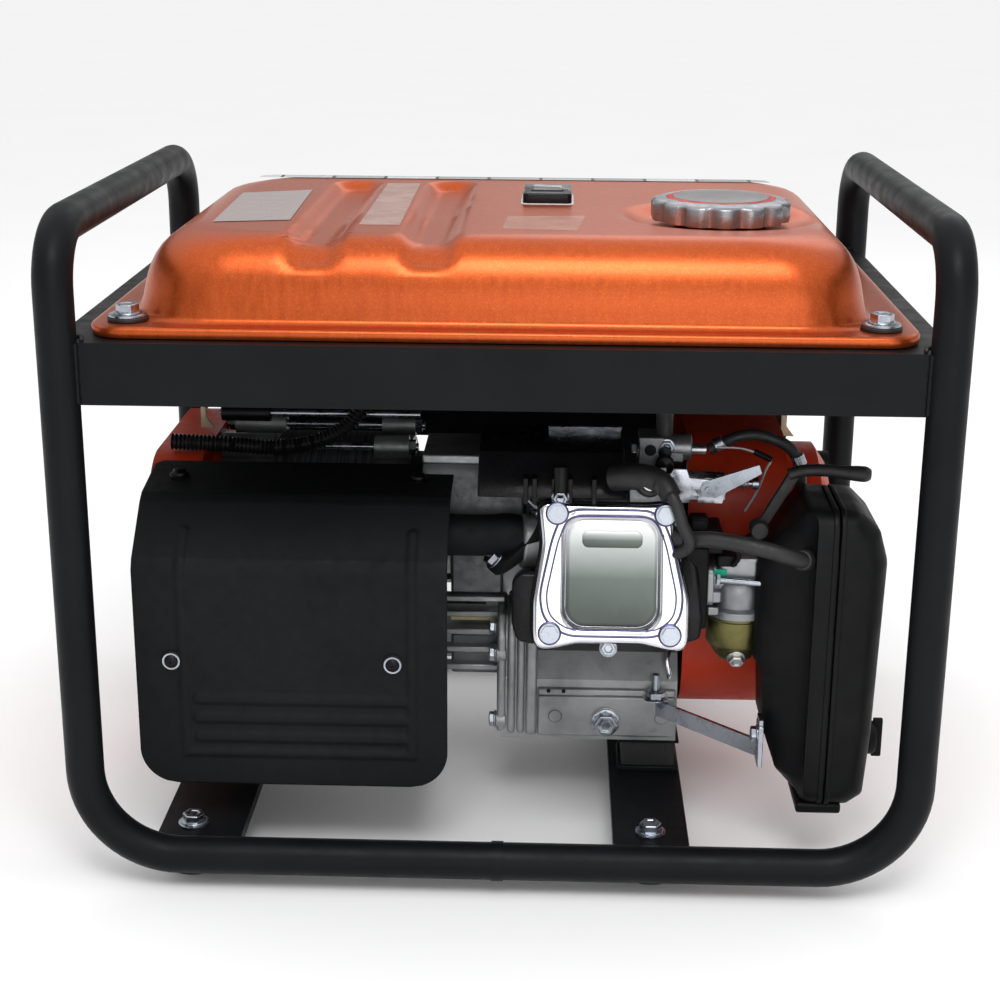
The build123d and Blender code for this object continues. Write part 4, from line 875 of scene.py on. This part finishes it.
def build_shield():
    line = [Vector(p) for p in SHIELD_LINE]
    reach = lengths(line)
    pressing = sheet([shield_row(line, reach, reach[-1] * i / SHIELD_ROWS) for i in range(SHIELD_ROWS + 1)])
    shield = piece("shield_pressing", pressing, "matte_black_sheet", smooth=50,
                   node="muffler_shield")
    thick = shield.modifiers.new("sheet", "SOLIDIFY")
    thick.thickness, thick.offset = 1.2 * MM, -1
    spots = [near(x, -165.2, 150) for x in (-224, -73)]
    spots += [Seat((x, -95, 260.5), (1, 0, 0), (0, -0.16, 1)) for x in (-228, -60)]
    for i, seat in enumerate(spots):
        dome = turned(seat, [(6.8, 0), (6.8, 0.9), (6.0, 1.3), (5.4, 1.3)], 32)
        turned(seat, [(5.2, 1.2), (5.1, 2.4), (4.3, 3.7), (2.6, 4.5), (0.8, 4.7)], 28, dome)
        piece(f"shield_screw_{i}", dome, "dark_anodised")
        # the cross recess is drawn as a raised black cross: painted shade in the recess
        cross = box((-2.6, -0.4, 4.3), (2.6, 0.4, 4.95))
        box((-0.4, -2.6, 4.3), (0.4, 2.6, 4.95), cross)
        for vert in cross.verts:
            vert.co = seat.at(*vert.co)
        piece(f"shield_screw_cross_{i}", cross, "black_plastic")


# ---- air cleaner
AIR_BODY = [(203, 263), (190, 245), (176, 226), (173, 216), (174, 148), (180, 138), (182, 98), (191, 72),
            (211, 50), (240, 50), (251, 58), (254, 103), (257, 228), (251, 249), (238, 262)]
AIR_RADII = [8, 14, 9, 5, 5, 5, 10, 12, 10, 6, 6, 40, 16, 10, 10]
AIR_CENTRE, AIR_HALF, AIR_RIM = (215.0, 156.5), (42.0, 106.5), 13


def air_body(low_x, high_x):
    """The rounded housing between two cuts; its near-left corner leans back towards the engine."""
    turns = [radians(t) for t in (90, 72, 54, 36, 18, 0)]
    steps = [(AIR_RIM * (1 - cos(t)), AIR_RIM * (1 - sin(t)) - 170) for t in turns]
    steps += [(0, y) for y in (-150, -143, -136, -120, -99)] + [(2.5, -95.8), (5, -95)]
    rings = []
    for inward, y in steps:
        lean = 172.5 + 36.0 * smooth_step(-y, 134.0, 169.0)
        narrow, short = 1 - inward / AIR_HALF[0], 1 - inward / AIR_HALF[1]
        ring = [(AIR_CENTRE[0] + (x - AIR_CENTRE[0]) * narrow, y, AIR_CENTRE[1] + (z - AIR_CENTRE[1]) * short)
                for x, z in polygon(AIR_BODY, AIR_RADII)]
        rings.append([(min(max(x, lean, low_x), high_x), y, z) for x, y, z in ring])
    return skin(rings)


def build_air_cleaner():
    piece("air_base_moulding", air_body(170, 222.2), "black_plastic", smooth=45,
          node="air_cleaner_base")
    piece("air_cover_moulding", air_body(223.8, 262), "black_plastic", "air_cover", 45,
          node="air_cleaner_cover")
    for name, low, high, grow, owner in (("air_base_lip", 218.6, 222.4, 1.0, "chassis"),
                                         ("air_cover_lip", 223.6, 227.0, 1.4, "air_cover")):
        outline = rounded(37.5 + grow, 106.3 + grow, 14)
        piece(name, prism(rightward(0, -132.5, 156.4), outline, low, high, 0.8), "black_plastic", owner)
    wing = rightward(254.4, -132, 88)
    knob = turned(wing, [(10, 0), (12, 1), (12, 5), (10.5, 7.5), (6, 8)], 36)
    prism(wing, rounded(2.2, 14.5, 2), 6, 12.6, 0.8, knob)
    piece("air_wing_knob", knob, "black_plastic", "air_knob", bevel=0.3,
          node="air_cleaner_knob")
    boxes("air_drain_box", "black_plastic", 2, ((205, -166, 44.5), (236, -120, 52)))


# ---- intake and controls
def build_carburettor():
    bore, bowl_seat = rightward(0, -115, 199), Seat((163, -115, 0))
    body = turned(bore, [(17, 144), (17.4, 147), (15.5, 150), (15.5, 172), (18.5, 176), (18.5, 187)])
    prism(bore, rounded(24, 14, 6), 140, 144.5, 0.8, body)
    prism(FLAT, polygon([(148, -134), (176, -134), (176, -99), (148, -99)], 4), 200, 219, 1.5, body)
    turned(bowl_seat, [(19.5, 180), (20.4, 186), (20.4, 196), (18.5, 200), (12, 202)], 48, body)
    turned(bowl_seat, [(20.5, 174.2), (23.2, 174.6), (23.4, 179.6), (22.0, 180.6), (18, 183)], 48, body)
    piece("carburettor_casting", body, "carb_alloy", bevel=0.4, node="carburettor")
    bowl = turned(bowl_seat, [(21.4, 174.4), (21.6, 172.6), (20.6, 171.6), (20.6, 154), (19.4, 151.5),
                              (14.0, 143.8), (12.2, 142.2), (7.5, 141.6)], 48)
    prism(bowl_seat, arc((0, 0), 12.5, 22, 7, 315), 140.6, 149, 0.8, bowl)
    piece("float_bowl_pressing", bowl, "olive_plate", bevel=0.3, node="float_bowl")
    bolt("bowl_drain_screw", Seat((163, -130, 145), (1, 0, 0), (0, -0.85, -0.5)), 6, 0.3, "bright_steel")
    screw = tube([(147, -137.5, 205), (181, -137.5, 202.5)], 2.3, 16)
    tube([(146, -137.5, 205.1), (148.5, -137.5, 204.9)], 4.4, 6, screw)
    piece("idle_screw", screw, "zinc", bevel=0.2)
    piece("paint_dab", prism(near(149, -134.4, 209), rounded(4.5, 2.6, 1.5), 0, 0.5, 0.2), "green_dab")
    boxes("carb_lugs", "carb_alloy", 1,
          ((141, -138, 188), (150, -112, 196)), ((141, -136, 178), (149, -118, 184)))


def build_intake_block():
    """Black heat-insulating block with a stepped top and a clip."""
    outline = polygon([(-143, 170), (-88, 170), (-88, 232), (-104, 238), (-143, 228)], 4)
    piece("insulator_block", prism(ACROSS, outline, 124, 140, 1.5), "black_plastic",
          node="intake_insulator")
    boxes("insulator_top", "black_plastic", 1.6, ((124, -140, 224), (150, -100, 238)),
          ((128, -132, 236), (140, -112, 245)), ((146, -138, 214), (160, -122, 222)))
    clip = tube(curve([(150, -142, 236), (157, -143, 231), (160, -142, 222), (156, -140, 216)]), 1.6, 8)
    piece("insulator_clip", clip, "black_plastic")


def build_throttle():
    face = [(112, 252), (128, 252), (128, 257), (133, 257), (133, 252), (150, 252), (153, 262), (149, 268),
            (127, 270), (125, 276), (116, 276), (112, 270)]
    plate = prism(near(0, -112.6, 0), face, 0, 1.6, 0.3)
    box((112, -112, 266.4), (152, -96, 269.4), plate)
    piece("throttle_plate", plate, "bright_zinc", bevel=0.5)
    boxes("screw_block", "bright_zinc", 0.6, ((146, -112, 255), (152, -98, 270)))
    screw = tube([(140, -105, 264), (171, -105, 264)], 1.9)
    tube([(171, -105, 264), (175, -105, 264)], 4.2, 18, screw)
    piece("governor_screw", screw, "zinc")
    piece("governor_spring", tube(coil((153, -105, 264), (169, -105, 264), 3.6, 7), 0.65, 6), "bright_steel")
    link = [(146, -100, 288), (163, -98, 287), (176, -98, 283), (183, -99, 279), (180, -100, 272),
            (174, -101, 255), (167, -103, 243)]
    piece("governor_link", tube(curve(link), 0.9, 8), "bright_steel")
    piece("link_clip", tube([(172, -98, 285), (184, -99, 279.5)], 2.2, 10), "black_plastic")


def build_fuel_valve():
    """Alloy block with a blanked hole, a screw head, a side nut and a black knob."""
    block = box((93, -92, 270), (110, -66, 292))
    tube([(108, -80, 282.5), (130, -80, 282.5)], 9.2, 28, block)
    box((108, -90, 274), (124, -70, 281), block)
    piece("valve_block", block, "carb_alloy", bevel=0.9, node="fuel_valve")
    piece("valve_riser", tube([(111, -79, 290), (111, -79, 345)], 6, 20), "rubber")
    piece("valve_outlet", tube([(129, -84, 282), (140, -84, 282)], 3.6, 16), "bright_steel")
    # the blanked hole is a thin dark disc on the face: painted shade in the hole
    hole = turned(near(101, -92.05, 283), [(4.1, 0), (4.1, 0.15), (3.2, 0.16)], 24)
    piece("valve_blank_hole", hole, "dark_anodised")
    bolt("valve_screw", near(112, -89.5, 285), 5.5, 0.3)
    bolt("valve_side_nut", leftward(93, -82, 280), 6.5, 0.3)
    seat = near(111, -92.2, 282)
    knob = turned(seat.moved(0, -7, 2.4), [(3, 0), (5.6, 1.4), (6.6, 4), (5.6, 6.8), (2, 8.2)], 32)
    prism(seat.moved(0, -3.5), rounded(2.8, 6, 2.4), 2.1, 3.4, 0.3, knob)
    turned(seat, [(4.5, 0.2), (4.5, 2.2), (3.6, 2.8)], 24, knob)
    piece("valve_knob", knob, "gloss_black", "fuel_valve_lever", node="fuel_valve_lever")


def build_choke():
    """Rubber-covered lever: round hub, flat arm, thick rounded finger lying over the air cleaner."""
    lever = turned(near(174, -131, 240), [(5, -6), (6.4, -5), (6.4, 5), (5.4, 6.6), (3, 7)], 32)
    arm = polygon([(170.5, 240), (177.5, 238.5), (199.5, 277), (192.5, 280.5)], 2)
    prism(NEAR, arm, 127.5, 132.5, 0.8, lever)
    finger = [(192, -130, 278), (202, -130, 281), (216, -130, 281.5), (232, -130, 280), (247, -130, 279)]
    tube(curve(finger), lambda d: 4.2 + 1.2 * smooth_step(d, 30, 50) - 2.2 * smooth_step(d, 52, 57),
         16, lever)
    piece("choke_arm", lever, "rubber", "choke_lever", bevel=0.3, node="choke_lever")


def build_ignition():
    """Elbowed boot on the plug and its lead, which runs down past the rocker cover."""
    plug = HEAD.moved(25, 60)
    elbow = [plug.at(*p) for p in ((-24, 3, 196), (-10, 4, 205), (2, 3, 213), (9, -1, 219), (13, -8, 223))]
    boot = tube(curve(elbow), lambda d: 8.8 - 1.8 * smooth_step(d, 22, 48), 22)
    turned(Seat(elbow[3], (1, 0, 0), (0.45, -0.62, 0.35)),
           [(7.6, -3), (8.2, -2), (8.2, 1), (7.2, 2.2), (5, 2.6)], 28, boot)
    turned(plug, [(9.2, 188), (9.6, 190), (9.6, 204), (8, 212)], 28, boot)
    piece("plug_boot", boot, "rubber", node="plug_cap")
    lead = [plug.at(*p) for p in ((10, -3, 220), (16, -12, 223), (21, -26, 220), (26, -42, 212))]
    piece("plug_lead", tube(curve([*lead, (103, -150, 221), (112, -140, 214)]), 4.0, 16), "rubber")


def build_hoses():
    breather = [(116, -152, 239), (126, -160, 241), (141, -166, 243), (165, -174, 241.5), (185, -176.5, 237),
                (197, -172, 232), (203, -163, 229)]
    piece("breather_tube", tube(curve(breather), 5.4, 20), "rubber", node="breather_hose")
    for name, start, stop, radius, count, material, bevel in (
            ("breather_collar", (111, -151, 240.5), (124, -158, 240.8), 7.4, 24, "rubber", 1.2),
            ("breather_grommet", (198, -170.5, 231.5), (204, -160, 228), 7.0, 22, "rubber", 1.4),
            ("hose_clamp_0", (146, -84.5, 284.5), (152, -84.5, 288), 5.0, 20, "zinc", 0.5),
            ("hose_clamp_1", (203, -84.5, 279), (206, -84.5, 272), 5.0, 20, "zinc", 0.5)):
        piece(name, tube([start, stop], radius, count), material, bevel=bevel)
    route = [(-246, -30, 267), (-208, -31, 266), (-165, -30, 264), (-126, -28, 274), (-103, -18, 296),
             (-80, 16, 318), (-62, 62, 324), (-52, 106, 318), (-48, 137.5, 307)]
    conduit = tube(curve(route, 60), lambda d: 5.5 + 0.75 * cos(2 * pi * d / 3.0), 18)
    piece("conduit_corrugated", conduit, "gloss_black", smooth=80, node="wiring_conduit")


# ---- engine castings
def build_crankcase_front():
    """Cast detail on the near face: ledge, ridge, bosses, drain bolt, and the bracket's stud and tab."""
    boxes("case_ledge", "cast_aluminium", 1.6,
          ((25, -81, 92), (126, -70, 98)), ((25, -80.5, 60), (126, -76, 92)))
    boxes("case_ridge", "cast_aluminium", 1.8, ((30, -55, 130), (124, -44, 136)))
    for i, (boss_x, dimple_x) in enumerate(((38, 33), (116, 44))):
        boss = turned(near(boss_x, -80.2, 76), [(5.5, -4), (5.2, 0.4), (4.4, 1.2)], 28)
        piece(f"case_boss_{i}", boss, "cast_aluminium")
        # each dimple is a thin dark disc on the face: painted shade in the hollow
        dimple = turned(near(dimple_x, -80.9, 96), [(1.6, 0), (1.5, 0.15), (0.6, 0.1)], 16)
        piece(f"case_dimple_{i}", dimple, "dark_anodised")
    drain = near(75, -80.5, 73)
    washer = turned(drain, [(10.5, 0), (10.8, 0.5), (10.8, 1.8), (10.2, 2.2), (7, 2.2)], 36)
    piece("drain_washer", washer, "bright_steel")
    bolt("drain_bolt", drain.moved(0, 0, 2.2), 9.5, 0.4)
    stud = hex_bolt(Seat((111, -84, 93)), 8)
    piece("bracket_stud", tube([(111, -84, 92), (111, -84, 112)], 2.6, 16, stud), "zinc", bevel=0.25)
    boxes("air_strip", "zinc", 0.5, ((177.5, -160, 76), (181, -144, 106)))
    bolt("air_strip_nut", leftward(177.5, -153, 98), 6)
    clip = tube(curve([(118, -70, 96), (121, -76, 108), (119, -74, 120), (122, -66, 128)]), 2.0, 10)
    piece("lifting_clip", clip, "chrome")


def build_side_cover():
    """Cast side cover: rounded bands down the near edge, and bolts in bosses."""
    outline = polygon([(-79, 60), (-79, 138), (-68, 152), (-36, 158), (0, 120), (0, 60)], [8, 12, 8, 8, 5, 5])
    for i, (low, high, out) in enumerate(((-4, 24, -1.6), (-5, 1.6, 0.4), (2.6, 8.6, 1.6), (9.6, 15.4, 1.6),
                                          (16.2, 24.4, 2.6))):
        band = prism(ACROSS, shrink(outline, -out), low, high, min(2.2, (high - low) / 2 - 0.4))
        piece(f"cover_band_{i}", band, "cast_aluminium", smooth=60)
    for i, (y, z) in enumerate(((-74, 70), (-74, 122), (-66, 139))):
        piece(f"cover_boss_{i}", tube([(-6, y, z), (2, y, z)], 6.4, 24), "cast_aluminium", bevel=1)
        bolt(f"cover_bolt_{i}", leftward(-6, y, z), 6)


def build_adaptor():
    """Alternator adaptor: cast block and lid, ribs and winding tape down the near side, exhaust port; the
    block and wall carry painted shade.
    """
    top = [(-86, 206), (-86, 262), (-82, 268), (-20, 272), (-20, 206)]
    # the block and the wall use a darkened copy of the cast aluminium: painted shade
    piece("adaptor_block", prism(ACROSS, top, -58, 14, 2.5), "shaded_casting")
    boxes("adaptor_lid", "cast_aluminium", 1.2, ((-58, -84, 268.5), (8, -24, 275)))
    boxes("adaptor_wall", "shaded_casting", 2,
          ((-40, -53, 160), (-2, -44, 214)), ((-40, -50, 96), (0, -43, 128)))
    for i, z in enumerate((104, 118, 132, 146, 158)):
        boxes(f"adaptor_rib_{i}", "cast_aluminium", 0.9, ((-44, -58, z - 2.2), (0, -47, z + 2.2)))
    boxes("winding_tape", "beige_tape", 0, ((-40, -50, 138.5), (-2, -46, 141.5)))
    piece("exhaust_port", tube([(12, -112, 222), (40, -108, 220)], 19, 36), "cast_aluminium", bevel=2)


def build_exhaust():
    """Muffler can with stand-offs, the pipe, and the leaning oval flange with two zinc studs."""
    outline = polygon([(-150, 72), (-150, 222), (-126, 245), (-74, 245), (-74, 72)], [10, 12, 12, 10, 10])
    can = prism(ACROSS, outline, -240, -42, 4)
    tube(curve([(-44, -110, 225), (-12, -110, 225), (4, -110, 226), (13, -110, 223)]), 14.5, 32, can)
    for start, stop in (((-224, -150, 150), (-224, -163.6, 150)), ((-73, -150, 150), (-73, -163.6, 150)),
                        ((-228, -95, 244), (-228, -95, 257)), ((-60, -95, 244), (-60, -95, 257))):
        tube([start, stop], 7, 20, can)
    piece("muffler_can", can, "matte_black_sheet", smooth=50, node="muffler")
    seat = Seat((14, -113, 224), (0.68, 0, 0.73), (-0.70, -0.22, 0.66))
    oval = [(33 * x, 17 * y) for x, y in circle(1, 64)]
    piece("exhaust_flange", prism(seat, oval, -4, 4, 1.2), "matte_black_sheet")
    for i, x in enumerate((-24, 24)):
        stud = tube([seat.at(x, 0, 0), seat.at(x, 0, 19)], 2.9, 16)
        piece(f"exhaust_stud_{i}", hex_bolt(seat.moved(x, 0, 4), 7.5, stud), "zinc", bevel=0.25)


def build_duct():
    """Black cooling duct over the cylinder, with upright ribs and a small bolt, and the head's cowl."""
    section = [(-140, 262), (-134, 274), (-118, 288), (-60, 291.5), (-20, 270), (-20, 262), (-60, 280),
               (-116, 278), (-130, 262)]
    duct = prism(ACROSS, section, -17, 82, 1.6)
    for x in (14, 20, 33, 44, 60):
        box((x, -142, 258), (x + 3, -128, 276), duct)
    piece("duct_moulding", duct, "gloss_black", bevel=0.7, node="cooling_duct")
    bolt("duct_bolt", near(39, -142, 263), 5.5)
    piece("duct_boss", tube([(39, -141.5, 263), (39, -138, 284)], 5.2, 20), "gloss_black", bevel=0.8)
    boxes("duct_plate", "zinc", 0.4, ((30, -66, 290.5), (82, -61, 292.2)))
    piece("head_cowl", prism(HEAD, rounded(45, 45, 8), 150, 178, 2), "gloss_black")


# ---- frame and small fittings
def build_frame_details():
    """Weld beads, foot bolts, rubber mounts, the small rods, and two small cream plates that stand for
    backdrop seen in shade: painted shade.
    """
    for sx, sy in ((-1, -1), (-1, 1), (1, -1), (1, 1)):
        weld_bead(f"weld_front_{sx}_{sy}", [(sx * 265.6, sy * 205.6, z) for z in (340, 378)])
        weld_bead(f"weld_top_{sx}_{sy}", [(sx * 262, sy * 203, 379), (sx * 266, sy * 190, 379),
                                         (sx * 276, sy * 189, 379)], 1.6)
    for low, high in ((-235, -177), (79, 131)):
        for sy in (-1, 1):
            ends = [(low + 2, sy * 190.5, 30), (high - 2, sy * 190.5, 30)]
            weld_bead(f"weld_member_{low}_{sy}", ends, 1.5)
    for i, (x, y) in enumerate([(x, y) for x in (-213, 105) for y in (-171, 171)]):
        seat = Seat((x, y, 30))
        washer = turned(seat, [(10.4, 0), (10.6, 0.3), (10.6, 1.4), (10.1, 1.7), (5, 1.7)], 32)
        piece(f"foot_washer_{i}", washer, "zinc")
        bolt(f"foot_bolt_{i}", seat.moved(0, 0, 1.7), 8, 0.3)
    for i, (x0, x1, y0, y1, top) in enumerate(((88, 127, -72, -36, 57), (88, 127, 66, 102, 57),
                                              (-212, -178, -12, 20, 60), (-212, -178, 44, 76, 60))):
        boxes(f"mount_plates_{i}", "frame_black", 0.8, ((x0 - 3, y0 - 3, 30), (x1 + 3, y1 + 3, 34)),
              ((x0 - 3, y0 - 3, top - 4), (x1 + 3, y1 + 3, top - 1.5)))
        boxes(f"mount_bulge_{i}", "rubber", 4, ((x0 + 1, y0 + 1, 36), (x1 - 1, y1 - 1, top - 5)))
    piece("rod_sleeve", tube([(-215, 4, 281), (-178, 4, 281)], 6.6, 24), "dark_anodised", bevel=0.8)
    piece("long_rod", tube([(-216, 4, 281), (-66, 4, 281)], 3.0, 16), "zinc")
    # two cream plates stand for the backdrop seen in shade through the gaps at the far posts: painted shade
    for i, x in enumerate((-236, 206)):
        outline = [(x, 262), (x + 10, 262), (x + 4, 270), (x + 3, 288), (x, 290)]
        piece(f"backdrop_shade_plate_{i}", prism(near(0, 30, 0), outline, 0, 2, 0.3), "cream_paint")


def build_panel_details():
    """Generic marks on the control panel: a dial and needle, plain tags, and the panel's screws."""
    meter = far(-20, 205.2, 289)
    piece("meter_face", prism(meter, rounded(20, 16, 3), -1.6, -1.0, 0.2), "meter_dial")
    piece("meter_needle", tube([meter.at(0, -10, -0.6), meter.at(7, 8, -0.6)], 0.5, 6), "red_plastic")
    for i, (x, z, half) in enumerate(((-130, 315, 34), (60, 312, 14), (130, 312, 14))):
        piece(f"plain_tag_{i}", prism(far(x, 199.1, z), rounded(half, 4, 1), 0, 0.4, 0.1), "pale_gasket")
    for i, (x, z) in enumerate([(x, z) for x in (-216, 0, 216) for z in (237, 327)]):
        dome = turned(far(x, 199, z), [(4.6, 0), (4.4, 1), (3.2, 2.2), (0.8, 2.6)], 24)
        piece(f"panel_screw_{i}", dome, "zinc")


make_camera()
make_stage()
finish_cad_nodes()
build_tank()
build_cap()
build_rocker_cover()
build_shield()
build_air_cleaner()
build_carburettor()
build_intake_block()
build_throttle()
build_fuel_valve()
build_choke()
build_ignition()
build_hoses()
build_crankcase_front()
build_side_cover()
build_adaptor()
build_exhaust()
build_duct()
build_frame_details()
build_panel_details()
